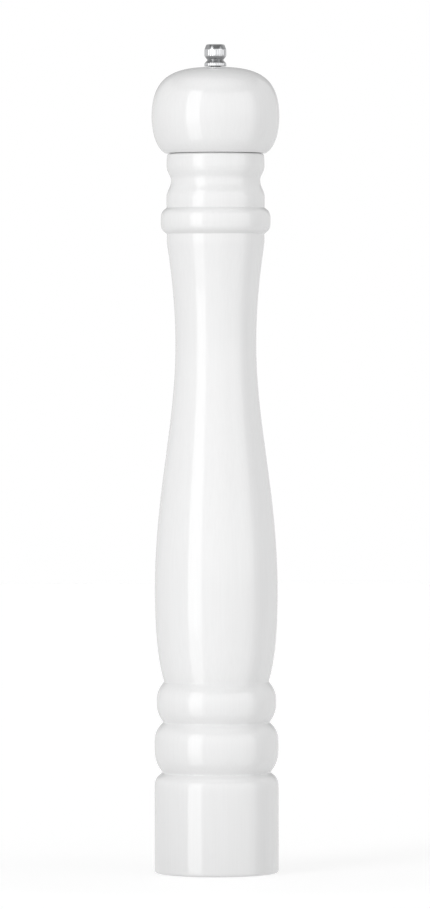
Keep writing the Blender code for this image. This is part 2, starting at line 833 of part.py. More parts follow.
def make_bridge():
    """A flat bar with rounded corners, a round boss and three holes."""
    tall = BRIDGE[1] - BRIDGE[0]
    bridge = block("bridge", (BRIDGE_LENGTH, BRIDGE_WIDTH, tall), BRIDGE[0], material=STEEL)
    round_upright_edges(bridge.data, BRIDGE_CORNER, EDGE_STEPS + 1)
    join(bridge, drum("bridge_boss", BRIDGE_BOSS, BRIDGE[0], BRIDGE[1], PART_STEPS))
    hole_low = BRIDGE[0] - PAST
    hole_high = BRIDGE[1] + PAST
    cut(bridge, drum("bridge_bore", BRIDGE_BORE, hole_low, hole_high, PART_STEPS))
    centres = spread(2, RECESS_SCREW_CIRCLE)
    drill(bridge, "bridge_hole", centres, SCREW_HOLE, hole_low, hole_high)
    return bridge


def round_upright_edges(mesh, radius, steps):
    """Round the four upright edges of a box."""
    shape = bmesh.new()
    shape.from_mesh(mesh)
    upright = []
    for edge in shape.edges:
        run = edge.verts[1].co - edge.verts[0].co
        if abs(run.z) > 0.5 * run.length:
            upright.append(edge)
    bmesh.ops.bevel(shape, geom=upright, offset=radius * MM, segments=steps,
                    profile=0.5, affect="EDGES")
    shape.to_mesh(mesh)
    shape.free()


# ---------------------------------------------------------------- assembly
def assemble():
    """Hang every piece from the axis that it moves on."""
    base = new_axis("base")
    fixed = [make_body(), make_mouth_bush(), make_housing(), make_stator(), make_bridge()]
    for piece in fixed + make_recess_screws():
        attach(piece, base)
    drive_axis = new_axis("drive_axis", SPRING[1], base)
    for piece in (make_spring_washer(), make_spring()):
        attach(piece, drive_axis)
    spindle_axis = new_axis("spindle_axis", SHAFT_FOOT, drive_axis)
    spindle = [make_shaft(), make_rotor(), make_rotor_core(), make_rotor_washer(), make_shaft_clip()]
    for piece in spindle:
        attach(piece, spindle_axis)
    head_axis = new_axis("head_axis", HEAD_SEAT, drive_axis)
    for piece in [make_head(), make_drive_plate()] + make_drive_plate_screws():
        attach(piece, head_axis)
    nut_axis = new_axis("nut_axis", HEAD_SEAT + HEAD_HEIGHT, head_axis)
    attach(make_top_nut(), nut_axis)


clear_scene()
parts = new_collection(MODEL)
tools = new_collection("cutters")
LACQUER = new_material("white_lacquer", (0.86, 0.86, 0.85), 0.08)
CHROME = new_material("chrome", (0.78, 0.78, 0.80), 0.08, 1.0)
STEEL = new_material("zinc_plated_steel", (0.62, 0.63, 0.65), 0.3, 1.0)
ALUMINIUM = new_material("aluminium", (0.77, 0.78, 0.80), 0.32, 1.0)
CERAMIC = new_material("ceramic", (0.85, 0.83, 0.78), 0.45)
BLACK_NYLON = new_material("black_nylon", (0.02, 0.02, 0.022), 0.5)
assemble()
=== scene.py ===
"""The looks of a tall turned pepper mill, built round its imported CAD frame.

Lengths are in millimetres until a mesh is made, and heights are counted up from the
surface that the mill stands on.  Turned outlines are lists of (radius, height) points.
"""

import math

import bmesh
import bpy
import numpy as np
from mathutils import Matrix, Vector


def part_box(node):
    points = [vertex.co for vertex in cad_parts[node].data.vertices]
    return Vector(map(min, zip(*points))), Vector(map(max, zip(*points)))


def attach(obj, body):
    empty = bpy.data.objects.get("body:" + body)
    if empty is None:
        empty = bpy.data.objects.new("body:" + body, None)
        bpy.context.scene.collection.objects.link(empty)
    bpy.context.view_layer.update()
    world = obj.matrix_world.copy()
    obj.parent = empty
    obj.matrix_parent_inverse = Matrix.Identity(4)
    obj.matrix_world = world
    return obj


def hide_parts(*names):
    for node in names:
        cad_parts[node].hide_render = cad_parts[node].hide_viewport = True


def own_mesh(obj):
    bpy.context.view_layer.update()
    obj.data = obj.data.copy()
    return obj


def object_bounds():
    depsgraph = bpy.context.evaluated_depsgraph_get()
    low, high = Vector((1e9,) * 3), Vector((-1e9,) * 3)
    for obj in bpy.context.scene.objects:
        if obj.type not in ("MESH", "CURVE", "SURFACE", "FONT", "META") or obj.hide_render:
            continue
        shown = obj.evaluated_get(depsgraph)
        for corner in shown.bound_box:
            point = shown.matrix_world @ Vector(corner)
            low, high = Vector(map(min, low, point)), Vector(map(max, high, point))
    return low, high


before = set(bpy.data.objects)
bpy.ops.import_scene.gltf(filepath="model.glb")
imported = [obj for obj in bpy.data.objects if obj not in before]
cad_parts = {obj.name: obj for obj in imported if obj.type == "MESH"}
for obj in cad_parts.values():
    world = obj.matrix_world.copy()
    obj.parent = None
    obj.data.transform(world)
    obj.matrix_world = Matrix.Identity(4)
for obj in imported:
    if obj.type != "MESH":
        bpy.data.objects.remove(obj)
cad_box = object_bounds()

MM = 0.001


def foot_of(node):
    """Height of a CAD node's lowest point."""
    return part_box(node)[0].z / MM


def top_of(node):
    """Height of a CAD node's highest point."""
    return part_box(node)[1].z / MM


def radius_of(node):
    """Reach of a turned CAD node from the mill's axis."""
    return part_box(node)[1].x / MM


# ---------------- sizes
GAP = 0.3  # between pieces that move on each other

# Turned stations of the body, (radius, height)
BODY_TOP = top_of("body")
FOOT_RADIUS = radius_of("body")
FOOT_TOP = 39.5
PLINTH_GROOVE = (26.2, 48.6)
LOWER_BEAD = (29.9, 61.8)
BEAD_GROOVE = (25.8, 72.8)
UPPER_BEAD = (28.85, 82.6)
BELLY_GROOVE = (25.3, 92.5)
BELLY = (29.62, 136.0)
WAIST = (19.5, 255.0)
NECK_FOOT = (23.6, 304.5)
NECK_GROOVE = (23.5, 308.0)
NECK_RING = (26.5, 314.7)
COLLAR_GROOVE = (23.65, 321.1)
COLLAR_FOOT = (23.75, 325.4)
COVE = (21.55, 334.3)
COLLAR_TOP = (23.65, 341.6)
COLLAR_LIP = (23.45, 345.5)
TOP_FACE_RADIUS = 22.0
LIP_PULL = 0.9
GROOVE_FLOOR = 0.6
FOOT_EDGE = 1.2

# How square each bead is, and how far each long curve keeps its end's direction
NECK_RING_ORDER = 3.6
UPPER_BEAD_ORDER = 2.45
LOWER_BEAD_ORDER = 3.0
PLINTH_ORDER = 4.0
COVE_PULLS = (0.55, 0.35)
NECK_PULLS = (0.03, 0.54)
BELLY_PULLS = (0.33, 0.40)
BELLY_DROP = 10.8
GROOVE_SLANT = (3.9, 12.1)

# Bores of the body
CHAMBER_RADIUS = 13.5
MOUTH_RADIUS = 15.2
MOUTH_FOOT = foot_of("mouth_bush") - 0.4
MECHANISM_RADIUS = 17.3
MECHANISM_TOP = top_of("housing") + GAP
RECESS_RADIUS = 23.6
RECESS_TOP = 14.0
BORE_EDGE = 0.5
BORE_EASE = 0.4  # countersink of the small bores in the head and the nut
PILOT_RADIUS = 1.75
PILOT_TOP = 31.0

# Head
HEAD_TOP = top_of("head")
HEAD_RADIUS = radius_of("head")
HEAD_HEIGHT = 41.2
HEAD_SEAT = HEAD_TOP - HEAD_HEIGHT
HEAD_WIDEST = 17.3
CROWN_PULL = 22.9
SHOULDER_PULL = 34.4
CHEEK_PULL = 14.0
JAW_PULL = (30.3, 3.5)
UNDERSIDE = (24.3, -0.32)  # the dome's lower edge, close over the body's top
TENON_RADIUS = 12.7
TENON_FOOT = foot_of("head")
TENON_EDGE = 1.0
TENON_HIDDEN = 0.6  # the tenon's lacquered root
HEAD_BORE = 5.0
HEAD_BORE_TOP = 33.6
STUD_HOLE = 3.0
HEAD_PILOT_RADIUS = 1.45
HEAD_PILOT_DEPTH = 10.0

# Adjusting nut: its side as (radius, depth below its top), its bands as (from, to) depths
NUT_SIDE = [(4.1, 0.0), (4.45, 0.3), (5.2, 2.35), (5.3, 2.8), (5.3, 5.4), (5.15, 5.8),
            (3.9, 7.4), (3.9, 7.7), (5.15, 9.0), (5.3, 9.3)]
NUT_EDGE = 0.2
NUT_CENTRE = 0.5  # radius of the innermost ring round the top face's pole
NUT_FOOT = foot_of("top_nut")
NUT_TOP = top_of("top_nut")
# Depths of the chamfer and the V groove, which take the darker chrome as painted shade
NUT_PAINTED_SHADE = [(0.35, 2.3), (5.85, 8.9)]
NUT_GRIPS = [(2.6, 5.6), (9.1, 10.7)]
FLUTES = 36  # round each grip
FLUTE_DEPTH = 0.1
NUT_ROOF = 1.9

# Shaft
SHAFT_SIDE = 5.5
SHAFT_FOOT = 13.2
SHAFT_SHOULDER = 378.0
SHAFT_CORNER = 0.35
SHAFT_EDGE = 0.2
STUD_RADIUS = 2.5
STUD_TOP = top_of("shaft")
STUD_PITCH = 0.8
STUD_THREAD = 0.42
STUD_NECK = 0.6  # plain part below the thread
STUD_EDGE = 0.5
JOURNAL_RADIUS = 2.4
JOURNAL_FOOT = foot_of("shaft")
JOURNAL_EDGE = 0.4
CLIP_GROOVE_RADIUS = 1.8
CLIP_GROOVE = (10.9, 12.1)

# Retaining ring in that groove
CLIP_RADIUS = 4.6
CLIP_LOBE = 1.1
CLIP_EDGE = 0.08
CLIP_MOUTH = (3.0, 6.0, 3.0)
CLIP_MOUTH_CENTRE = (0.0, 4.5)

# Screws, as shares of the head's radius unless in millimetres
SCREW_HEAD_TALL = 0.56
SMALL_SCREW_HEAD_TALL = 0.64
SMALL_SCREW = 2.5  # mm; a head of this radius or less is a small screw's
SCREW_EDGE = 0.12  # mm
SCREW_NECK = 1.5  # mm of plain shank under the head
SCREW_RUNOUT = 0.3  # mm
SCREW_ROOT = 0.36
SCREW_CREST = 0.54
SCREW_PITCH = 0.5
SCREW_RIDGE = 0.28  # half a ridge's width, as a share of the pitch
SCREW_POINT = 2.6  # the point's length, as a share of the crest's radius
CROSS_REACH = 0.55
CROSS_WIDTH = 0.3
CROSS_DEPTH = 0.62  # as a share of the head's height
CROSS_FLOOR = (0.45, 0.7)  # its length and width there, as shares of the cross's own
CROSS_MOUTH = (1.15, 1.1)

SCREW_CIRCLE = 20.3  # of the housing's and the bridge's screws
PLATE_SCREW_CIRCLE = 8.4

# Housing
FLANGE_TALL = 2.7
FLANGE = (foot_of("housing"), foot_of("housing") + FLANGE_TALL)
FLANGE_RADIUS = radius_of("housing")
FLANGE_HOLE = 1.8
BARREL_RADIUS = 17.0
BARREL_TOP = top_of("housing")
POCKET_RADIUS = 15.1
POCKET_TOP = 33.3
THROAT_RADIUS = 12.2
THROAT_TALL = 1.7
HUB = (41.0, 45.0)
HUB_RADIUS = 6.2
HUB_BORE = 4.4
SPOKES = 3
SPOKE_WIDTH = 2.4
SPOKE_REACH = 15.9
SPOKE_ROOT = 5.0

# Burr: stator with its keys, rotor and core
KEYS = 4
KEY_WIDTH = 4.0
KEY_DEPTH = 2.0
KEY_RADIUS = 15.7
KEYS_FOOT = 14.0
KEYS_TOP = 30.0
STATOR = (foot_of("stator"), top_of("stator"))
STATOR_RADIUS = 14.8
STATOR_EDGE = 0.3
ROTOR = (foot_of("rotor"), top_of("rotor"))
CORE = (foot_of("rotor_core"), top_of("rotor_core"))
CORE_RADIUS = 5.6
CORE_SQUARE = 5.8
CORE_CORNER = 0.2
CORE_EDGE = 0.25
SLIDING_SQUARE = 5.9
BREAK_HEIGHT = 21.5  # where fine teeth give way to coarse ones
BREAK_STEP = 0.6
FINE_TEETH = 24
COARSE_TEETH = 12
TOOTH_SLOPE = 0.72  # a tooth's long side, as a share of its pitch

# Spring, rings and bridge
SPRING = (foot_of("spring"), top_of("spring"))
SPRING_RADIUS = 4.75
SPRING_WIRE = 0.45
SPRING_TURNS = 5.5
SPRING_END_TURN = 0.75  # turns of wire that lie close at each end
SPRING_END_PITCH = 2.15  # their pitch, in wire radii
BUSH_BORE = 13.1
ROTOR_WASHER_BORE = 2.7
PLATE_HOLE = 1.5
STAMPED_EDGE = 0.12
PLATE_EDGE = 0.2
MOULDED_EDGE = 0.3
SQUARE_CORNER = 0.25
BRIDGE = (foot_of("bridge"), top_of("bridge"))
BRIDGE_LENGTH = 45.6
BRIDGE_WIDTH = 9.0
BRIDGE_BOSS = 6.5
BRIDGE_BORE = 2.75
BRIDGE_EDGE = 0.25

# Steps round a turned piece
WOOD_STEPS = 144
PART_STEPS = 96
SMALL_STEPS = 48
HOLE_STEPS = 24
FLANGE_HOLE_STEPS = 32
NUT_STEPS = 288
TOOTH_STEPS = 240

PAST = 1.0  # how far a tool runs past the piece that it cuts
SHARP_ANGLE = 32.0  # degrees; a steeper turn between faces shades as an edge

# Lacquer rounds a wooden edge, and polishing rounds the nut's
LACQUER_EDGE = 0.25
NUT_POLISH = 0.07


# ---------------- outlines
def bezier(start, pull_start, pull_end, end, steps=24):
    """Points of a cubic curve, without its first point."""
    points = []
    for step in range(1, steps + 1):
        t = step / steps
        weights = ((1 - t) ** 3, 3 * t * (1 - t) ** 2, 3 * t * t * (1 - t), t ** 3)
        pulls = list(zip(weights, (start, pull_start, pull_end, end)))
        points.append((sum(w * p[0] for w, p in pulls), sum(w * p[1] for w, p in pulls)))
    return points


def ogee(start, end, start_pull=0.45, end_pull=0.45):
    """A smooth S between two radii, both ends running along the axis."""
    drop = end[1] - start[1]
    pull_start = (start[0], start[1] + start_pull * drop)
    pull_end = (end[0], end[1] - end_pull * drop)
    return bezier(start, pull_start, pull_end, end, 60)


def swell(groove, crest, order, steps=30):
    """Half a bead from its groove to its crest; a higher order is squarer."""
    points = []
    for step in range(1, steps + 1):
        away = 1.0 - step / steps
        radius = crest[0] - (crest[0] - groove[0]) * away ** order
        height = crest[1] + (groove[1] - crest[1]) * away
        points.append((radius, height))
    return points


def shifted(point, lift):
    return (point[0], point[1] + lift)


def floor_ends(groove):
    """The two ends of a groove's narrow floor, upper one first."""
    return shifted(groove, GROOVE_FLOOR / 2), shifted(groove, -GROOVE_FLOOR / 2)


def bead(upper_groove, crest, lower_groove, order):
    """A whole bead, down from one groove's floor to the next one's."""
    start = floor_ends(upper_groove)[1]
    end = floor_ends(lower_groove)[0]
    falling = list(reversed(swell(end, crest, order)[:-1]))
    return [start] + swell(start, crest, order) + falling + [end]


def resampled(points, spacing):
    """The same line with its points a set distance apart."""
    line = np.array(points, float)
    runs = np.linalg.norm(np.diff(line, axis=0), axis=1)
    along = np.concatenate([[0.0], np.cumsum(runs)])
    stations = np.linspace(0.0, along[-1], max(2, round(along[-1] / spacing)))
    return np.column_stack([np.interp(stations, along, line[:, side]) for side in (0, 1)])


def eased(points, radius):
    """A line with its corners rounded, as a film of lacquer rounds them."""
    spread_steps = 4
    reach = 2 * spread_steps
    line = resampled(points, radius / spread_steps)
    weights = np.exp(-0.5 * (np.arange(-reach, reach + 1) / spread_steps) ** 2)
    weights /= weights.sum()
    padded = np.pad(line, ((reach, reach), (0, 0)), mode="reflect", reflect_type="odd")
    sides = [np.convolve(padded[:, side], weights, mode="valid") for side in (0, 1)]
    return thinned(np.column_stack(sides))


def thinned(line, turn=5.0, stretch=2.0):
    """Keeps a point wherever the line has turned or run on far enough."""
    kept = [tuple(line[0])]
    turned_by = 0.0
    for before, here, after in zip(line, line[1:], line[2:]):
        heading_in = math.atan2(*(here - before))
        heading_out = math.atan2(*(after - here))
        turned_by += abs(math.degrees(math.remainder(heading_out - heading_in, math.tau)))
        run = math.dist(here, kept[-1])
        if turned_by > turn or run > stretch:
            kept.append(tuple(here))
            turned_by = 0.0
    kept.append(tuple(line[-1]))
    return kept


# ---------------- sections
def square_section(half_side, corner):
    """Reach of a square with its corners cut back, by direction."""
    def reach(angle):
        flat = half_side / max(abs(math.cos(angle)), abs(math.sin(angle)))
        return min(flat, half_side * math.sqrt(2.0) - corner)
    return reach


def hexagon_section(circle):
    """Reach of a hexagon inside a circle, by direction."""
    def reach(angle):
        within = math.remainder(angle, math.tau / 6)
        return circle * math.cos(math.pi / 6) / math.cos(math.pi / 6 - abs(within))
    return reach


SLIDING_HOLE = square_section(SLIDING_SQUARE / 2, SQUARE_CORNER)


# ---------------- modelling
def loft(name, rings, materials, ring_materials=None, closed=True):
    """Skins a row of rings.  A ring of one point is a pole; a closed row joins its ends."""
    shape = bmesh.new()
    made = [[shape.verts.new(Vector(point) * MM) for point in ring] for ring in rings]
    pairs = list(zip(made, made[1:]))
    if closed:
        pairs.append((made[-1], made[0]))
    for index, (upper, lower) in enumerate(pairs):
        count = max(len(upper), len(lower))
        for step in range(count):
            following = (step + 1) % count
            corners = [upper[step % len(upper)], lower[step % len(lower)],
                       lower[following % len(lower)], upper[following % len(upper)]]
            face = shape.faces.new(list(dict.fromkeys(corners)))
            face.smooth = True
            if ring_materials:
                face.material_index = ring_materials[index]
    bmesh.ops.recalc_face_normals(shape, faces=shape.faces)
    return new_object(name, shape, materials)


def new_object(name, shape, materials=()):
    """An object in the scene, made of a finished shape, which is used up."""
    mesh = bpy.data.meshes.new(name)
    shape.to_mesh(mesh)
    shape.free()
    for material in materials:
        mesh.materials.append(material)
    mesh.set_sharp_from_angle(angle=math.radians(SHARP_ANGLE))
    obj = bpy.data.objects.new(name, mesh)
    bpy.context.scene.collection.objects.link(obj)
    return obj


def ring_at(level, reach, steps, centre=(0.0, 0.0)):
    """Points round an upright axis; reach is a radius or a function of direction."""
    points = []
    for step in range(steps):
        angle = math.tau * step / steps
        radius = reach(angle) if callable(reach) else reach
        x = centre[0] + radius * math.cos(angle)
        y = centre[1] + radius * math.sin(angle)
        points.append((x, y, level))
    return points


def turned(name, skins, steps, centre=(0.0, 0.0)):
    """Turned outlines, joined end to end; each skin is a material and its points."""
    rings = []
    ring_materials = []
    for index, (material, points) in enumerate(skins):
        for radius, level in points:
            pole = [(centre[0], centre[1], level)]
            rings.append(ring_at(level, radius, steps, centre) if radius > 0.0 else pole)
            ring_materials.append(index)
    on_axis = len(rings[0]) == 1 and len(rings[-1]) == 1
    materials = [material for material, points in skins]
    return loft(name, rings, materials, ring_materials, closed=not on_axis)


def washer(name, material, inner, outer, low, high, edge, steps=PART_STEPS):
    """A ring with its four edges broken; inner is a radius or a function."""
    def hole(angle):
        return inner(angle) if callable(inner) else inner

    def opened(angle):
        return hole(angle) + edge

    reaches = [(outer - edge, high), (outer, high - edge), (outer, low + edge), (outer - edge, low),
               (opened, low), (hole, low + edge), (hole, high - edge), (opened, high)]
    rings = [ring_at(level, reach, steps) for reach, level in reaches]
    return loft(name, rings, [material])


def block(name, size, low, centre=(0.0, 0.0), turn=0.0):
    """A box for cutting or joining, turned about the mill's axis."""
    shape = bmesh.new()
    bmesh.ops.create_cube(shape, size=1.0)
    bmesh.ops.scale(shape, vec=Vector(size) * MM, verts=shape.verts)
    place = Vector((centre[0], centre[1], low + size[2] / 2)) * MM
    bmesh.ops.translate(shape, vec=place, verts=shape.verts)
    bmesh.ops.rotate(shape, matrix=Matrix.Rotation(turn, 3, "Z"), verts=shape.verts)
    return new_object(name, shape)


def drum(name, radius, low, high, steps, centre=(0.0, 0.0)):
    """A plain round tool for cutting or joining."""
    outline = [(0.0, high), (radius, high), (radius, low), (0.0, low)]
    return turned(name, [(None, outline)], steps, centre)


def combined(obj, tools, operation="DIFFERENCE"):
    """Cuts tools from an object, or joins them to it, and removes them."""
    for tool in tools:
        modifier = obj.modifiers.new(tool.name, "BOOLEAN")
        modifier.operation = operation
        modifier.solver = "EXACT"
        modifier.object = tool
    apply_modifiers(obj)
    for tool in tools:
        bpy.data.objects.remove(tool)


def apply_modifiers(obj):
    graph = bpy.context.evaluated_depsgraph_get()
    mesh = bpy.data.meshes.new_from_object(obj.evaluated_get(graph))
    obj.modifiers.clear()
    obj.data = mesh
    obj.data.shade_smooth()
    obj.data.set_sharp_from_angle(angle=math.radians(SHARP_ANGLE))


def broken_edges(obj, width):
    """Small bevels along an object's sharp edges."""
    bevel = obj.modifiers.new("edges", "BEVEL")
    bevel.width = width * MM
    bevel.segments = 2
    bevel.limit_method = "ANGLE"
    bevel.angle_limit = math.radians(40.0)
    apply_modifiers(obj)


def drills(count, circle, radius, low, high, steps):
    """Round tools for equal holes round the axis, the first of them towards +X."""
    tools = []
    for index in range(count):
        angle = math.tau * index / count
        place = (circle * math.cos(angle), circle * math.sin(angle))
        tools.append(drum(f"drill_{index}", radius, low, high, steps, place))
    return tools


def in_place(obj, body, slot, *nodes):
    """A finished piece rides on its body and stands for its CAD nodes."""
    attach(obj, body)
    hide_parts(*nodes)


# ---------------- node helpers
def new_node(tree, kind, inputs=None, **settings):
    """A shader node; its inputs take values or other nodes' sockets."""
    node = tree.nodes.new(kind)
    for name, value in settings.items():
        setattr(node, name, value)
    for name, value in (inputs or {}).items():
        if isinstance(value, bpy.types.NodeSocket):
            tree.links.new(value, node.inputs[name])
        else:
            node.inputs[name].default_value = value
    return node


def new_material(name, **values):
    """A Principled material with constant values set on the shader itself."""
    material = bpy.data.materials.new(name)
    material.use_nodes = True
    shader = material.node_tree.nodes["Principled BSDF"]
    for socket, value in values.items():
        shader.inputs[socket.replace("_", " ")].default_value = value
    return material, material.node_tree, shader


def stretched_noise(tree, across, along, detail=3.0, roughness=0.5):
    """Noise with features so many per metre across the axis and along it."""
    place = new_node(tree, "ShaderNodeTexCoord").outputs["Object"]
    scale = {"Vector": place, "Scale": (across, across, along)}
    mapping = new_node(tree, "ShaderNodeMapping", scale)
    settings = {"Vector": mapping.outputs["Vector"], "Scale": 1.0, "Detail": detail,
                "Roughness": roughness}
    return new_node(tree, "ShaderNodeTexNoise", settings).outputs["Fac"]


def ramp(tree, factor, stops):
    """A colour ramp through (position, colour) stops."""
    node = new_node(tree, "ShaderNodeValToRGB", {"Fac": factor})
    elements = node.color_ramp.elements
    while len(elements) < len(stops):
        elements.new(0.5)
    for element, (position, colour) in zip(elements, stops):
        element.position = position
        element.color = (*colour, 1.0)
    return node.outputs["Color"]


def spread_values(tree, factor, low, high):
    """Maps noise, which stays near its middle, to a range of values."""
    inputs = {"Value": factor, "From Min": 0.3, "From Max": 0.7, "To Min": low, "To Max": high}
    return new_node(tree, "ShaderNodeMapRange", inputs).outputs["Result"]


def bumped(tree, shader, heights):
    """Stacks bumps, each a height and its depth in millimetres, on a shader."""
    normal = None
    for height, depth in heights:
        inputs = {"Height": height, "Strength": 1.0, "Distance": depth * MM}
        if normal:
            inputs["Normal"] = normal
        normal = new_node(tree, "ShaderNodeBump", inputs).outputs["Normal"]
    tree.links.new(normal, shader.inputs["Normal"])


def multiplied(tree, first, second, factor):
    """One colour darkened by another."""
    inputs = {"Factor": factor, "A": first, "B": second}
    node = new_node(tree, "ShaderNodeMix", inputs, data_type="RGBA", blend_type="MULTIPLY")
    return node.outputs["Result"]


def surface(tree, shader, colour, wear, low, high, heights=()):
    """Gives a shader its colour, roughness from low to high by a noise, and bumps."""
    tree.links.new(colour, shader.inputs["Base Color"])
    tree.links.new(spread_values(tree, wear, low, high), shader.inputs["Roughness"])
    if heights:
        bumped(tree, shader, heights)


# ---------------- materials
def white_lacquer():
    """Gloss lacquer over turned wood: the grain shows as faint upright streaks."""
    material, tree, shader = new_material(
        "white_lacquer", IOR=1.5, Specular_IOR_Level=0.25, Coat_Weight=1.0, Coat_Roughness=0.015)
    grain = stretched_noise(tree, 1100.0, 18.0, 4.0, 0.6)
    cloud = stretched_noise(tree, 45.0, 20.0, 2.0)
    streaks = ramp(tree, grain, [(0.30, (0.787, 0.787, 0.788)), (0.70, (0.809, 0.809, 0.81))])
    tint = ramp(tree, cloud, [(0.3, (0.99, 0.99, 0.99)), (0.7, (1.0, 1.0, 1.0))])
    polish = stretched_noise(tree, 160.0, 90.0, 3.0)
    surface(tree, shader, multiplied(tree, streaks, tint, 1.0), polish, 0.30, 0.38, [(grain, 0.0003)])
    return material


def raw_beech():
    """Bare turned beech: warm grain along the axis, flecks and tool rings."""
    material, tree, shader = new_material("raw_beech", IOR=1.45)
    grain = stretched_noise(tree, 700.0, 22.0, 5.0, 0.6)
    fleck = stretched_noise(tree, 1500.0, 260.0, 2.0)
    wood = ramp(tree, grain, [(0.25, (0.40, 0.24, 0.13)), (0.5, (0.56, 0.37, 0.22)),
                              (0.75, (0.66, 0.47, 0.30))])
    dark = ramp(tree, fleck, [(0.62, (1.0, 1.0, 1.0)), (0.72, (0.66, 0.55, 0.45))])
    rings = stretched_noise(tree, 30.0, 2600.0, 2.0)
    colour = multiplied(tree, wood, dark, 0.8)
    surface(tree, shader, colour, grain, 0.5, 0.68, [(rings, 0.02), (grain, 0.03)])
    return material


def chrome():
    """Bright plating with hairlines left by turning and polishing."""
    material, tree, shader = new_material("chrome", Metallic=1.0)
    hairlines = stretched_noise(tree, 60.0, 9000.0, 3.0, 0.7)
    haze = stretched_noise(tree, 500.0, 500.0, 3.0)
    tone = ramp(tree, haze, [(0.3, (0.64, 0.645, 0.655)), (0.7, (0.69, 0.695, 0.705))])
    surface(tree, shader, tone, haze, 0.05, 0.11, [(hairlines, 0.0006)])
    return material


def painted_shade_chrome():
    """The nut's groove and chamfer: a darker copy of the chrome, painted shade for the dark reflections
    in these hollows.
    """
    material, tree, shader = new_material("painted_shade_chrome", Metallic=1.0)
    haze = stretched_noise(tree, 500.0, 500.0, 3.0)
    tone = ramp(tree, haze, [(0.3, (0.33, 0.333, 0.34)), (0.7, (0.39, 0.393, 0.40))])
    surface(tree, shader, tone, haze, 0.08, 0.14)
    return material


def aluminium():
    """Drawn rod: fine lines along its length."""
    material, tree, shader = new_material("aluminium", Metallic=1.0)
    lines = stretched_noise(tree, 9000.0, 60.0, 3.0, 0.7)
    haze = stretched_noise(tree, 900.0, 150.0, 3.0)
    tone = ramp(tree, haze, [(0.3, (0.55, 0.56, 0.57)), (0.7, (0.64, 0.645, 0.65))])
    surface(tree, shader, tone, haze, 0.24, 0.36, [(lines, 0.004)])
    return material


def zinc_plated_steel():
    """Dull bright plating, slightly blue, mottled where it was barrel plated."""
    material, tree, shader = new_material("zinc_plated_steel", Metallic=1.0)
    mottle = stretched_noise(tree, 1400.0, 1400.0, 4.0)
    broad = stretched_noise(tree, 220.0, 220.0, 2.0)
    tone = ramp(tree, broad, [(0.3, (0.56, 0.58, 0.62)), (0.7, (0.68, 0.69, 0.71))])
    surface(tree, shader, tone, mottle, 0.22, 0.38, [(mottle, 0.004)])
    return material


def ceramic():
    """Fired ceramic: off-white, dense, with a fine matte grain and faint specks."""
    material, tree, shader = new_material("ceramic", IOR=1.6)
    grain = stretched_noise(tree, 5200.0, 5200.0, 3.0)
    speck = stretched_noise(tree, 2300.0, 2300.0, 2.0)
    body = ramp(tree, speck, [(0.32, (0.62, 0.59, 0.53)), (0.42, (0.80, 0.78, 0.73)),
                              (0.75, (0.86, 0.845, 0.80))])
    surface(tree, shader, body, grain, 0.36, 0.52, [(grain, 0.006)])
    return material


def black_nylon():
    """Moulded nylon: nearly black, with a fine spark-eroded texture."""
    material, tree, shader = new_material("black_nylon", IOR=1.53)
    texture = stretched_noise(tree, 3600.0, 3600.0, 3.0)
    flow = stretched_noise(tree, 120.0, 60.0, 2.0)
    tone = ramp(tree, flow, [(0.3, (0.016, 0.016, 0.018)), (0.7, (0.028, 0.028, 0.030))])
    surface(tree, shader, tone, texture, 0.38, 0.56, [(texture, 0.01)])
    return material


LACQUER = white_lacquer()
BEECH = raw_beech()
CHROME = chrome()
# The darker chrome is painted shade for the nut's groove and chamfer
PAINTED_SHADE_CHROME = painted_shade_chrome()
ALUMINIUM = aluminium()
STEEL = zinc_plated_steel()
CERAMIC = ceramic()
NYLON = black_nylon()


# ---------------- wooden pieces
def body_side():
    """The lacquered outside, from the mouth's edge down to the recess's edge."""
    edge_top = (TOP_FACE_RADIUS + LIP_PULL, BODY_TOP)
    edge_side = (COLLAR_LIP[0], COLLAR_LIP[1] + LIP_PULL)
    line = [(MOUTH_RADIUS + BORE_EDGE, BODY_TOP), (TOP_FACE_RADIUS, BODY_TOP)]
    line += bezier(line[-1], edge_top, edge_side, COLLAR_LIP)
    line += [COLLAR_TOP]
    line += ogee(COLLAR_TOP, COVE, *COVE_PULLS)
    line += ogee(COVE, COLLAR_FOOT)
    line += [floor_ends(COLLAR_GROOVE)[0]]
    line += bead(COLLAR_GROOVE, NECK_RING, NECK_GROOVE, NECK_RING_ORDER)
    line += [floor_ends(NECK_GROOVE)[1], NECK_FOOT]
    line += ogee(NECK_FOOT, WAIST, *NECK_PULLS)
    line += ogee(WAIST, BELLY, *BELLY_PULLS)
    line += belly_to_groove()
    line += bead(BELLY_GROOVE, UPPER_BEAD, BEAD_GROOVE, UPPER_BEAD_ORDER)
    line += bead(BEAD_GROOVE, LOWER_BEAD, PLINTH_GROOVE, LOWER_BEAD_ORDER)
    line += plinth_side()
    return line


def belly_to_groove():
    """The belly's lower half, which meets its groove on a slant."""
    end = floor_ends(BELLY_GROOVE)[0]
    pull_start = shifted(BELLY, -BELLY_DROP)
    pull_end = (end[0] + GROOVE_SLANT[0], end[1] + GROOVE_SLANT[1])
    return bezier(BELLY, pull_start, pull_end, end, 60)


def plinth_side():
    """The plinth's rounded shoulder, straight side and eased foot."""
    start = floor_ends(PLINTH_GROOVE)[1]
    shoulder = swell(start, (FOOT_RADIUS, FOOT_TOP), PLINTH_ORDER)
    eased_edge = (FOOT_RADIUS - FOOT_EDGE * 0.29, FOOT_EDGE * 0.29)
    foot = [(FOOT_RADIUS, FOOT_EDGE), eased_edge, (FOOT_RADIUS - FOOT_EDGE, 0.0)]
    return [start] + shoulder + foot + [(RECESS_RADIUS + BORE_EDGE, 0.0)]


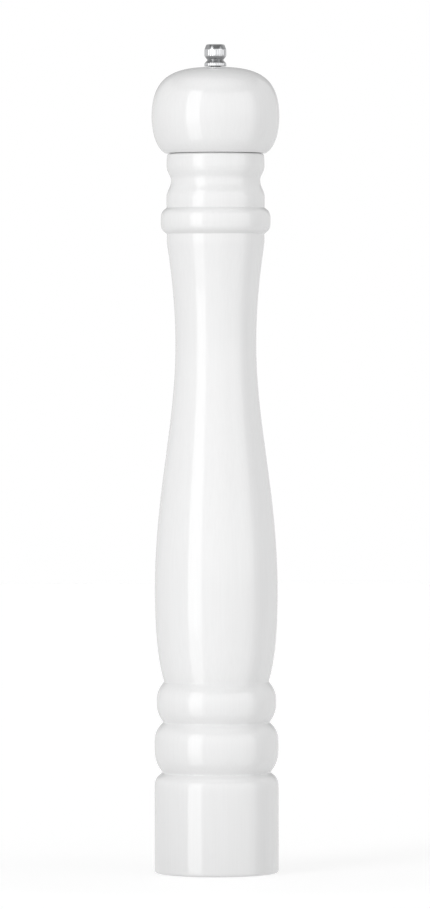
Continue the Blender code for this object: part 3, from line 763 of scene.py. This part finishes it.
def body_bore():
    """The bare inside, from the foot up to the mouth."""
    return [
        (RECESS_RADIUS, BORE_EDGE),
        (RECESS_RADIUS, RECESS_TOP),
        (MECHANISM_RADIUS, RECESS_TOP),
        (MECHANISM_RADIUS, MECHANISM_TOP),
        (CHAMBER_RADIUS, MECHANISM_TOP),
        (CHAMBER_RADIUS, MOUTH_FOOT),
        (MOUTH_RADIUS, MOUTH_FOOT),
        (MOUTH_RADIUS, BODY_TOP - BORE_EDGE),
    ]


def make_body():
    skins = [(LACQUER, eased(body_side(), LACQUER_EDGE)), (BEECH, body_bore())]
    body = turned("mill_body", skins, WOOD_STEPS)
    combined(body, drills(4, SCREW_CIRCLE, PILOT_RADIUS, RECESS_TOP - PAST, PILOT_TOP, HOLE_STEPS))
    in_place(body, "base", "white_lacquer", "body")


def head_side():
    """The lacquered dome and underside, from the stud hole to the tenon."""
    crown = (STUD_HOLE + 0.3, HEAD_HEIGHT)
    widest = (HEAD_RADIUS, HEAD_WIDEST)
    line = [crown]
    line += bezier(crown, (CROWN_PULL, HEAD_HEIGHT), (HEAD_RADIUS, SHOULDER_PULL), widest, 90)
    line += bezier(widest, (HEAD_RADIUS, CHEEK_PULL), JAW_PULL, UNDERSIDE, 80)
    line += [(TENON_RADIUS + 0.3, UNDERSIDE[1])]
    return [shifted(point, HEAD_SEAT) for point in line]


def tenon_and_bore():
    """The bare tenon and the stepped bore for the shaft and its stud."""
    bore_top = HEAD_SEAT + HEAD_BORE_TOP
    return [
        (TENON_RADIUS, HEAD_SEAT - TENON_HIDDEN),
        (TENON_RADIUS, TENON_FOOT + TENON_EDGE),
        (TENON_RADIUS - TENON_EDGE * 0.3, TENON_FOOT + TENON_EDGE * 0.3),
        (TENON_RADIUS - TENON_EDGE, TENON_FOOT),
        (HEAD_BORE + BORE_EASE, TENON_FOOT),
        (HEAD_BORE, TENON_FOOT + BORE_EASE),
        (HEAD_BORE, bore_top),
        (STUD_HOLE, bore_top),
        (STUD_HOLE, HEAD_TOP - 0.3),
    ]


def make_head():
    skins = [(LACQUER, eased(head_side(), LACQUER_EDGE)), (BEECH, tenon_and_bore())]
    head = turned("mill_head", skins, WOOD_STEPS)
    low, high = TENON_FOOT - PAST, TENON_FOOT + HEAD_PILOT_DEPTH
    combined(head, drills(2, PLATE_SCREW_CIRCLE, HEAD_PILOT_RADIUS, low, high, HOLE_STEPS))
    in_place(head, "head", "white_lacquer", "head")


# ---------------- adjusting nut
def nut_side():
    """Top face, chamfer, barrel, V groove and foot flange of the chrome nut."""
    reach = radius_of("top_nut")
    line = [(NUT_CENTRE, NUT_TOP)]
    line += [(radius, NUT_TOP - depth) for radius, depth in NUT_SIDE]
    line += [(reach, NUT_FOOT + NUT_EDGE), (reach - NUT_EDGE, NUT_FOOT)]
    return line + [(STUD_RADIUS + 2 * GAP, NUT_FOOT)]


def knurled(radius, depth):
    """Reach of the nut round its axis: its grips are cut with straight flutes."""
    share = 0.0
    for start, end in NUT_GRIPS:
        share = max(share, min(1.0, (depth - start) / NUT_EDGE, (end - depth) / NUT_EDGE))

    def reach(angle):
        return radius - share * FLUTE_DEPTH * (0.5 - 0.5 * math.cos(FLUTES * angle))
    return reach


def make_nut():
    """A chrome cap nut: its grips are knurled; its groove and chamfer take the darker chrome as painted
    shade.
    """
    bore = STUD_RADIUS + GAP
    roof = NUT_TOP - NUT_ROOF
    rings = [[(0.0, 0.0, NUT_TOP)]]
    dark = [0]
    for radius, level in eased(nut_side(), NUT_POLISH):
        depth = NUT_TOP - level
        rings.append(ring_at(level, knurled(radius, depth), NUT_STEPS))
        # Rings in these bands take the darker chrome: painted shade
        dark.append(int(any(start < depth < end for start, end in NUT_PAINTED_SHADE)))
    rings += [ring_at(level, bore, NUT_STEPS) for level in (NUT_FOOT + BORE_EASE, roof)]
    rings.append([(0.0, 0.0, roof)])
    dark += [0, 0, 0]
    nut = loft("adjusting_nut", rings, [CHROME, PAINTED_SHADE_CHROME], dark, closed=False)
    in_place(nut, "nut", "chrome", "top_nut")


# ---------------- shaft
def threaded_rings(radius, depth, pitch, low, high, steps, runout=1.0):
    """Rings up a threaded rod; the thread fades in and out at its ends."""
    levels = np.arange(low, high + 1e-6, pitch / 10)
    rings = []
    for level in levels:
        fade = min(1.0, (level - low) / runout, (high - level) / runout)

        def reach(angle):
            phase = (level / pitch - angle / math.tau) % 1.0
            groove = 1.0 - abs(2.0 * phase - 1.0)
            return radius - depth * fade * min(1.0, groove * 1.25)
        rings.append(ring_at(float(level), reach, steps))
    return rings


def make_shaft():
    """One loft from the stud's end down the square rod to the journal's end."""
    square = square_section(SHAFT_SIDE / 2, SHAFT_CORNER)
    small_square = square_section(SHAFT_SIDE / 2 - SHAFT_EDGE, SHAFT_CORNER)
    groove_low, groove_high = CLIP_GROOVE
    thread_foot = SHAFT_SHOULDER + STUD_NECK
    thread_top = STUD_TOP - STUD_EDGE
    stud = threaded_rings(STUD_RADIUS, STUD_THREAD, STUD_PITCH, thread_foot, thread_top, SMALL_STEPS)
    stud.reverse()
    plain = [
        (STUD_RADIUS, SHAFT_SHOULDER),
        (small_square, SHAFT_SHOULDER),
        (square, SHAFT_SHOULDER - SHAFT_EDGE),
        (square, SHAFT_FOOT + SHAFT_EDGE),
        (small_square, SHAFT_FOOT),
        (JOURNAL_RADIUS, SHAFT_FOOT),
        (JOURNAL_RADIUS, groove_high),
        (CLIP_GROOVE_RADIUS, groove_high),
        (CLIP_GROOVE_RADIUS, groove_low),
        (JOURNAL_RADIUS, groove_low),
        (JOURNAL_RADIUS, JOURNAL_FOOT + JOURNAL_EDGE),
        (JOURNAL_RADIUS - JOURNAL_EDGE, JOURNAL_FOOT),
    ]
    end = [[(0.0, 0.0, STUD_TOP)], ring_at(STUD_TOP, STUD_RADIUS - STUD_EDGE, SMALL_STEPS)]
    rings = end + stud + [ring_at(level, reach, SMALL_STEPS) for reach, level in plain]
    rings.append([(0.0, 0.0, JOURNAL_FOOT)])
    shaft = loft("drive_shaft", rings, [ALUMINIUM], closed=False)
    in_place(shaft, "spindle", "aluminium", "shaft")


# ---------------- fasteners
def cross_tool(name, centre, foot, reach, width, deep):
    """Two crossed wedges that cut a cross recess up into a screw's head."""
    wedges = []
    for turn in range(2):
        shape = bmesh.new()
        bmesh.ops.create_cube(shape, size=1.0)
        for vertex in shape.verts:
            at_floor = vertex.co.z > 0.0
            share_long, share_wide = CROSS_FLOOR if at_floor else CROSS_MOUTH
            vertex.co.x *= 2 * reach * share_long * MM
            vertex.co.y *= width * share_wide * MM
            vertex.co.z = (foot + (deep if at_floor else -GAP)) * MM
        bmesh.ops.rotate(shape, matrix=Matrix.Rotation(turn * math.pi / 2, 3, "Z"), verts=shape.verts)
        bmesh.ops.translate(shape, vec=Vector((*centre, 0.0)) * MM, verts=shape.verts)
        wedges.append(new_object(f"{name}_{turn}", shape))
    return wedges


def pan_head(centre, low, radius, tall):
    """Rings of a domed screw head, from its crown below up to its bearing face."""
    rings = [[(*centre, low)]]
    steps = 8
    for step in range(1, steps + 1):
        angle = math.pi / 2 * step / steps
        reach = radius * math.sin(angle) ** 0.8
        level = low + 0.55 * tall * (1.0 - math.cos(angle))
        rings.append(ring_at(level, reach, SMALL_STEPS, centre))
    rings.append(ring_at(low + tall - SCREW_EDGE, radius, SMALL_STEPS, centre))
    rings.append(ring_at(low + tall, radius - SCREW_EDGE, SMALL_STEPS, centre))
    return rings


def screw_thread(head_radius, low, top, centre):
    """Rings up a screw's thread, which closes to a point at its top."""
    root = SCREW_ROOT * head_radius
    crest = SCREW_CREST * head_radius
    pitch = SCREW_PITCH * head_radius
    rings = []
    for level in np.arange(low, top - 0.05, pitch / 10):
        closing = min(1.0, (top - level) / (SCREW_POINT * crest))

        def reach(angle):
            phase = (level / pitch - angle / math.tau) % 1.0
            ridge = max(0.0, 1.0 - abs(phase - 0.5) / SCREW_RIDGE)
            return (root + (crest - root) * ridge) * closing
        rings.append(ring_at(float(level), reach, SMALL_STEPS, centre))
    return rings


def make_screw(node, body):
    """A cross-recess wood screw, driven upwards, in the place of its CAD node."""
    low_corner, high_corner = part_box(node)
    middle = (low_corner + high_corner) / (2 * MM)
    centre = (middle.x, middle.y)
    radius = (high_corner.x - low_corner.x) / (2 * MM)
    low = foot_of(node)
    top = top_of(node)
    head_tall = radius * (SCREW_HEAD_TALL if radius > SMALL_SCREW else SMALL_SCREW_HEAD_TALL)
    neck_top = low + head_tall + SCREW_NECK
    rings = pan_head(centre, low, radius, head_tall)
    for level in (low + head_tall, neck_top - SCREW_RUNOUT):
        rings.append(ring_at(level, SCREW_CREST * radius, SMALL_STEPS, centre))
    rings += screw_thread(radius, neck_top, top, centre)
    rings.append([(*centre, top)])
    screw = loft(f"fine_{node}", rings, [STEEL], closed=False)
    cross = (CROSS_REACH * radius, CROSS_WIDTH * radius, CROSS_DEPTH * head_tall)
    combined(screw, cross_tool(f"cross_{node}", centre, low, *cross))
    in_place(screw, body, "zinc_plated_steel", node)


# ---------------- burr mechanism
def toothed(tip, depth, teeth, twist):
    """Reach of a toothed section, by direction; depth is signed, inwards positive."""
    def reach(angle):
        along = ((angle - math.radians(twist)) * teeth / math.tau) % 1.0
        rising = along / TOOTH_SLOPE
        falling = (1.0 - along) / (1.0 - TOOTH_SLOPE)
        return tip - depth * (rising if along < TOOTH_SLOPE else falling)
    return reach


def toothed_rings(teeth, sections, per_section=8):
    """Rings through sections, each (level, tip radius, tooth depth, twist in degrees)."""
    rings = []
    for lower, upper in zip(sections, sections[1:]):
        for step in range(per_section):
            share = step / per_section
            level, tip, depth, twist = [a + (b - a) * share for a, b in zip(lower, upper)]
            rings.append(ring_at(level, toothed(tip, depth, teeth, twist), TOOTH_STEPS))
    level, tip, depth, twist = sections[-1]
    rings.append(ring_at(level, toothed(tip, depth, teeth, twist), TOOTH_STEPS))
    return rings


def make_rotor():
    """A cone, wide end down: fine teeth below, coarse helical ones above."""
    hexagon = hexagon_section(CORE_RADIUS + GAP)
    rings = toothed_rings(FINE_TEETH, [
        (ROTOR[0], 11.5, 0.5, 0.0),
        (ROTOR[0] + 0.4, 11.8, 0.6, 0.0),
        (BREAK_HEIGHT, 9.5, 0.6, 8.0),
    ])
    rings += toothed_rings(COARSE_TEETH, [
        (BREAK_HEIGHT + BREAK_STEP, 9.2, 1.0, 9.0),
        (ROTOR[1] - 0.4, 7.65, 1.2, 31.0),
        (ROTOR[1], 7.3, 1.1, 32.0),
    ])
    rings.append(ring_at(ROTOR[1], hexagon, TOOTH_STEPS))
    rings.append(ring_at(ROTOR[0], hexagon, TOOTH_STEPS))
    rotor = loft("burr_rotor", rings, [CERAMIC])
    in_place(rotor, "spindle", "ceramic", "rotor")


def key_blocks(radius, width, low, high):
    """Boxes where the stator's keys lie, out to a radius."""
    size = (KEY_DEPTH, width, high - low)
    centre = (radius - KEY_DEPTH / 2, 0.0)
    return [block(f"key_{index}", size, low, centre, math.tau * (index + 0.5) / KEYS)
            for index in range(KEYS)]


def make_stator():
    """A keyed ring whose toothed inside narrows to the break and opens below."""
    low, high = STATOR
    inset = STATOR_RADIUS - STATOR_EDGE
    outside = [(inset, high), (STATOR_RADIUS, high - STATOR_EDGE),
               (STATOR_RADIUS, low + STATOR_EDGE), (inset, low)]
    rings = [ring_at(level, radius, TOOTH_STEPS) for radius, level in outside]
    rings += toothed_rings(FINE_TEETH, [
        (low, 13.3, -0.6, 0.0),
        (ROTOR[0] + 0.3, 12.7, -0.6, 0.0),
        (BREAK_HEIGHT, 10.4, -0.6, -8.0),
    ])
    rings += toothed_rings(COARSE_TEETH, [
        (BREAK_HEIGHT + BREAK_STEP, 10.5, -1.0, -9.0),
        (high, 11.9, -1.15, -30.5),
    ])
    stator = loft("burr_stator", rings, [CERAMIC])
    combined(stator, key_blocks(KEY_RADIUS, KEY_WIDTH, KEYS_FOOT, KEYS_TOP), "UNION")
    in_place(stator, "base", "ceramic", "stator")


def make_rotor_core():
    """A hexagon round the shaft's square, its outer edges broken."""
    core_square = square_section(CORE_SQUARE / 2, CORE_CORNER)
    hexagon = hexagon_section(CORE_RADIUS)
    small = hexagon_section(CORE_RADIUS - CORE_EDGE)
    low, high = CORE
    stations = [(small, high), (hexagon, high - CORE_EDGE), (hexagon, low + CORE_EDGE),
                (small, low), (core_square, low), (core_square, high)]
    rings = [ring_at(level, reach, TOOTH_STEPS) for reach, level in stations]
    core = loft("burr_core", rings, [NYLON])
    in_place(core, "spindle", "black_nylon", "rotor_core")


def ring_for(node, material, inner, edge, steps=PART_STEPS):
    """A ring of a CAD node's height and outer radius."""
    reach, low, high = radius_of(node), foot_of(node), top_of(node)
    return washer(f"fine_{node}", material, inner, reach, low, high, edge, steps)


def make_small_rings():
    """The mouth's bush and the washers under the rotor and the spring."""
    bush = ring_for("mouth_bush", NYLON, BUSH_BORE, MOULDED_EDGE, WOOD_STEPS)
    in_place(bush, "base", "black_nylon", "mouth_bush")
    under_core = ring_for("rotor_washer", STEEL, ROTOR_WASHER_BORE, STAMPED_EDGE)
    in_place(under_core, "spindle", "zinc_plated_steel", "rotor_washer")
    under_hub = ring_for("spring_washer", STEEL, SLIDING_HOLE, STAMPED_EDGE)
    in_place(under_hub, "drive", "zinc_plated_steel", "spring_washer")


def make_drive_plate():
    plate = ring_for("drive_plate", STEEL, SLIDING_HOLE, PLATE_EDGE)
    low = foot_of("drive_plate") - PAST
    high = top_of("drive_plate") + PAST
    combined(plate, drills(2, PLATE_SCREW_CIRCLE, PLATE_HOLE, low, high, SMALL_STEPS))
    in_place(plate, "head", "zinc_plated_steel", "drive_plate")


def clip_reach(angle):
    """Inner reach of the retaining ring: three lobes bear on the groove."""
    lobe = 0.5 + 0.5 * math.cos(3.0 * (angle + math.pi / 2))
    return CLIP_GROOVE_RADIUS + GAP + CLIP_LOBE * (1.0 - lobe) ** 0.7


def make_clip():
    """An open retaining ring, stamped from strip, its mouth towards +Y."""
    low, high = foot_of("shaft_clip"), top_of("shaft_clip")
    clip = washer("fine_shaft_clip", STEEL, clip_reach, CLIP_RADIUS, low, high, CLIP_EDGE)
    combined(clip, [block("clip_mouth", CLIP_MOUTH, low - PAST, CLIP_MOUTH_CENTRE)])
    in_place(clip, "spindle", "zinc_plated_steel", "shaft_clip")


def spring_level(share):
    """Height of the wire's middle, share of the way up; the end turns lie close."""
    low = SPRING[0] + SPRING_WIRE
    high = SPRING[1] - SPRING_WIRE
    end_turn = SPRING_END_TURN / SPRING_TURNS
    closed = SPRING_END_PITCH * SPRING_WIRE * SPRING_END_TURN
    if share < end_turn:
        return low + closed * share / end_turn
    if share > 1.0 - end_turn:
        return high - closed * (1.0 - share) / end_turn
    inner = (share - end_turn) / (1.0 - 2.0 * end_turn)
    return low + closed + (high - low - 2.0 * closed) * inner


def make_spring():
    """Round wire wound round the shaft, made at one length; the real spring shortens as the nut is
    tightened.
    """
    turns_steps = 40
    wire_steps = 14
    count = round(SPRING_TURNS * turns_steps)
    rings = []
    for index in range(count + 1):
        angle = math.tau * SPRING_TURNS * index / count
        level = spring_level(index / count)
        ring = []
        for step in range(wire_steps):
            around = math.tau * step / wire_steps
            radius = SPRING_RADIUS + SPRING_WIRE * math.cos(around)
            lift = SPRING_WIRE * math.sin(around)
            ring.append((radius * math.cos(angle), radius * math.sin(angle), level + lift))
        rings.append(ring)
    start_cap, end_cap = [[tuple(np.mean(ring, axis=0))] for ring in (rings[0], rings[-1])]
    spring = loft("coil_spring", [start_cap] + rings + [end_cap], [STEEL], closed=False)
    in_place(spring, "drive", "zinc_plated_steel", "spring")
    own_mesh(spring)


def make_housing():
    """A flanged barrel with a pocket for the stator and a spoked hub above."""
    outline = [
        (POCKET_RADIUS + 1.2, BARREL_TOP),
        (BARREL_RADIUS - 0.2, BARREL_TOP - 0.2),
        (BARREL_RADIUS, BARREL_TOP - 0.7),
        (BARREL_RADIUS, FLANGE[1]),
        (FLANGE_RADIUS - 0.2, FLANGE[1]),
        (FLANGE_RADIUS, FLANGE[1] - 0.2),
        (FLANGE_RADIUS, FLANGE[0] + 0.5),
        (FLANGE_RADIUS - 0.15, FLANGE[0] + 0.15),
        (FLANGE_RADIUS - 0.5, FLANGE[0]),
        (POCKET_RADIUS + 0.3, FLANGE[0]),
        (POCKET_RADIUS, FLANGE[0] + 0.3),
        (POCKET_RADIUS, POCKET_TOP),
        (THROAT_RADIUS, POCKET_TOP),
        (THROAT_RADIUS, POCKET_TOP + THROAT_TALL),
        (POCKET_RADIUS + 0.4, BARREL_TOP),
    ]
    housing = turned("burr_housing", [(NYLON, outline)], PART_STEPS)
    tall = HUB[1] - HUB[0]
    joined = []
    for index in range(SPOKES):
        size = (SPOKE_REACH - SPOKE_ROOT, SPOKE_WIDTH, tall)
        centre = ((SPOKE_REACH + SPOKE_ROOT) / 2, 0.0)
        joined.append(block(f"spoke_{index}", size, HUB[0], centre, math.tau * index / SPOKES))
    joined.append(drum("hub", HUB_RADIUS, HUB[0], HUB[1], PART_STEPS))
    combined(housing, joined, "UNION")
    cuts = [drum("hub_bore", HUB_BORE, HUB[0] - PAST, HUB[1] + PAST, SMALL_STEPS)]
    low, high = FLANGE[0] - PAST, FLANGE[1] + PAST
    cuts += key_blocks(KEY_RADIUS + GAP, KEY_WIDTH + 2 * GAP, low, KEYS_TOP + GAP)
    cuts += drills(4, SCREW_CIRCLE, FLANGE_HOLE, low, high, FLANGE_HOLE_STEPS)
    combined(housing, cuts)
    in_place(housing, "base", "black_nylon", "housing")


def make_bridge():
    """A flat bar with round ends, a round boss and three holes."""
    low, high = BRIDGE
    faces = [[(x, y, level) for x, y in bridge_outline()] for level in (high, low)]
    rings = [[(0.0, 0.0, high)], *faces, [(0.0, 0.0, low)]]
    bridge = loft("outlet_bridge", rings, [STEEL], closed=False)
    cuts = [drum("bridge_bore", BRIDGE_BORE, low - PAST, high + PAST, SMALL_STEPS)]
    cuts += drills(2, SCREW_CIRCLE, FLANGE_HOLE, low - PAST, high + PAST, FLANGE_HOLE_STEPS)
    combined(bridge, cuts)
    broken_edges(bridge, BRIDGE_EDGE)
    in_place(bridge, "base", "zinc_plated_steel", "bridge")


def arc(middle, radius, start, steps=12):
    """Points of a circle with its middle on the X axis, from an angle to its crest."""
    angles = [start + (math.pi / 2 - start) * step / steps for step in range(steps + 1)]
    return [(middle + radius * math.cos(angle), radius * math.sin(angle)) for angle in angles]


def bridge_outline():
    """Points round the bar, seen from above, anticlockwise from its +X end."""
    half = BRIDGE_WIDTH / 2
    end = BRIDGE_LENGTH / 2 - half
    boss_turn = math.asin(half / BRIDGE_BOSS)
    quarter = arc(end, half, 0.0) + arc(0.0, BRIDGE_BOSS, boss_turn)
    left = [(-x, y) for x, y in reversed(quarter[:-1])]
    upper = quarter + left
    lower = [(x, -y) for x, y in reversed(upper[1:-1])]
    return upper + lower


# ---------------- studio
CAMERA_DISTANCE = 3200.0
CAMERA_LIFT = 50.0
VIEW_CENTRE = (-0.5, 0.0, 201.9)
VIEW_HEIGHT = 438.4
CAMERA_ROLL = -0.10
SENSOR = 36.0
FLOOR_RADIUS = 4000.0
SHADE_RADIUS = 150.0


def make_camera():
    """A long lens far off, almost level with the middle of the mill."""
    data = bpy.data.cameras.new("camera")
    data.sensor_fit = "AUTO"
    data.sensor_width = SENSOR
    data.lens = CAMERA_DISTANCE * SENSOR / VIEW_HEIGHT
    data.dof.use_dof = False
    camera = bpy.data.objects.new("camera", data)
    target = Vector(VIEW_CENTRE) * MM
    camera.location = target + Vector((0.0, -CAMERA_DISTANCE, CAMERA_LIFT)) * MM
    facing = (target - camera.location).to_track_quat("-Z", "Y")
    roll = Matrix.Rotation(math.radians(CAMERA_ROLL), 3, "Z").to_quaternion()
    camera.rotation_mode = "QUATERNION"
    camera.rotation_quaternion = facing @ roll
    data.clip_start = 0.1
    data.clip_end = 50.0
    bpy.context.scene.collection.objects.link(camera)
    bpy.context.scene.camera = camera


# Panels of the studio: left and right edge in degrees round from the camera,
# lowest and highest elevation, softness of the edges in degrees, radiance.
PANELS = [
    (-180, 180, -90, -40, 5, 0.82),   # light thrown up by the table
    (105, 150, -40, 38, 5, 1.0),      # behind the mill
    (150, 210, -40, 8, 5, 0.95),
    (150, 210, 8, 38, 5, 0.55),
    (210, 235, -40, 38, 5, 0.95),
    (-125, -55, -40, 0, 3, 0.82),     # left wall
    (-125, -55, 0, 36, 3, 1.02),
    (-55, -28, -40, -9, 1, 2.5),      # tall soft box, left of the camera
    (-55, -28, -9, 41, 1, 3.5),
    (-28, 42, -40, 0, 2, 1.05),       # open front
    (-28, 42, 0, 36, 2, 1.45),
    (42, 76, -40, 0, 3, 1.4),         # bounce card, right of the camera
    (42, 76, 0, 36, 3, 2.05),
    (76, 105, -40, 0, 1, 0.5),        # dark edge of the right wall
    (76, 105, 0, 36, 1, 0.72),
    (-125, -55, 36, 54, 3, 0.5),      # gap between the walls and the ceiling
    (-55, -28, 41, 54, 3, 0.8),
    (-28, 105, 36, 54, 3, 0.5),
    (-125, 42, 54, 90, 5, 1.12),      # ceiling
    (42, 105, 54, 90, 5, 1.1),
    (105, 235, 38, 90, 8, 0.5),
]


def soft_step(tree, value, edge, softness):
    """0 below an edge and 1 above it, softly."""
    inputs = {"Value": value, "From Min": edge - softness, "From Max": edge + softness}
    return new_node(tree, "ShaderNodeMapRange", inputs, interpolation_type="SMOOTHSTEP").outputs["Result"]


def arithmetic(tree, operation, first, second=0.0):
    return new_node(tree, "ShaderNodeMath", {0: first, 1: second}, operation=operation).outputs[0]


def within(tree, value, low, high, softness, end):
    """1 between two edges and 0 outside them; an edge at the scale's end is open."""
    above = soft_step(tree, value, low, softness) if low > -end else 1.0
    past = soft_step(tree, value, high, softness) if high < end else 0.0
    return arithmetic(tree, "MULTIPLY", above, arithmetic(tree, "SUBTRACT", 1.0, past))


def make_world():
    """White to the camera; to everything else, soft panels round the mill."""
    world = bpy.data.worlds.new("studio")
    world.use_nodes = True
    bpy.context.scene.world = world
    tree = world.node_tree
    tree.nodes.clear()
    direction = new_node(tree, "ShaderNodeTexCoord").outputs["Generated"]
    parts = new_node(tree, "ShaderNodeSeparateXYZ", {"Vector": direction})
    behind = arithmetic(tree, "MULTIPLY", parts.outputs["Y"], -1.0)
    turn = arithmetic(tree, "ARCTAN2", parts.outputs["X"], behind)
    azimuth = arithmetic(tree, "MULTIPLY", turn, math.degrees(1.0))
    rise = arithmetic(tree, "ARCSINE", parts.outputs["Z"])
    elevation = arithmetic(tree, "MULTIPLY", rise, math.degrees(1.0))
    total = 0.0
    for left, right, low, high, softness, radiance in PANELS:
        off_middle = arithmetic(tree, "SUBTRACT", azimuth, (left + right) / 2)
        wrapped = new_node(tree, "ShaderNodeMath", {0: off_middle, 1: -180.0, 2: 180.0}, operation="WRAP")
        across = within(tree, wrapped.outputs[0], (left - right) / 2, (right - left) / 2, softness, 180)
        along = within(tree, elevation, low, high, softness, 90)
        panel = arithmetic(tree, "MULTIPLY", arithmetic(tree, "MULTIPLY", across, along), radiance)
        total = arithmetic(tree, "ADD", panel, total)
    studio = new_node(tree, "ShaderNodeBackground", {"Strength": total}).outputs["Background"]
    white = {"Color": (1.0, 1.0, 1.0, 1.0), "Strength": 1.0}
    page = new_node(tree, "ShaderNodeBackground", white).outputs["Background"]
    seen = new_node(tree, "ShaderNodeLightPath").outputs["Is Camera Ray"]
    mixed = new_node(tree, "ShaderNodeMixShader", {0: seen, 1: studio, 2: page})
    new_node(tree, "ShaderNodeOutputWorld", {"Surface": mixed.outputs["Shader"]})


def table_disc(name, radius, drop, steps, material):
    """A flat disc under the mill that belongs to the studio."""
    shape = bmesh.new()
    bmesh.ops.create_circle(shape, cap_ends=True, segments=steps, radius=radius * MM)
    disc = new_object(name, shape, [material])
    disc.location.z = cad_box[0].z - drop * MM
    disc.visible_glossy = False
    disc.visible_transmission = False
    disc.visible_shadow = False
    return disc


def make_floor():
    """A pale round floor, seen only from above, that takes a soft shadow."""
    material, tree, shader = new_material(
        "floor", Base_Color=(0.9, 0.9, 0.9, 1.0), Roughness=0.7, Emission_Color=(1.0, 1.0, 1.0, 1.0),
        Emission_Strength=0.35)
    material.use_backface_culling = True
    facing = new_node(tree, "ShaderNodeNewGeometry").outputs["Backfacing"]
    clear = new_node(tree, "ShaderNodeBsdfTransparent").outputs["BSDF"]
    mixed = new_node(tree, "ShaderNodeMixShader", {0: facing, 1: shader.outputs["BSDF"], 2: clear})
    tree.links.new(mixed.outputs["Shader"], tree.nodes["Material Output"].inputs["Surface"])
    floor = table_disc("floor", FLOOR_RADIUS, 0.2, 128, material)
    floor.visible_diffuse = False


def make_shade():
    """A disc on the table, dimmer than the studio, that shades the mill's foot."""
    material = new_material(
        "shade", Base_Color=(0.0, 0.0, 0.0, 1.0), Specular_IOR_Level=0.0,
        Emission_Color=(1.0, 1.0, 1.0, 1.0), Emission_Strength=0.6)[0]
    shade = table_disc("shade", SHADE_RADIUS, 0.1, 64, material)
    shade.visible_camera = False


# ---------------- assembly
make_camera()
make_world()
make_floor()
make_shade()
bpy.context.scene.view_settings.view_transform = "Standard"

make_body()
make_head()
make_nut()
make_shaft()
for screw_node in ("bridge_screw_1", "bridge_screw_2", "housing_screw_1", "housing_screw_2"):
    make_screw(screw_node, "base")
for screw_node in ("drive_plate_screw_1", "drive_plate_screw_2"):
    make_screw(screw_node, "head")
make_rotor()
make_stator()
make_rotor_core()
make_small_rings()
make_drive_plate()
make_clip()
make_spring()
make_housing()
make_bridge()
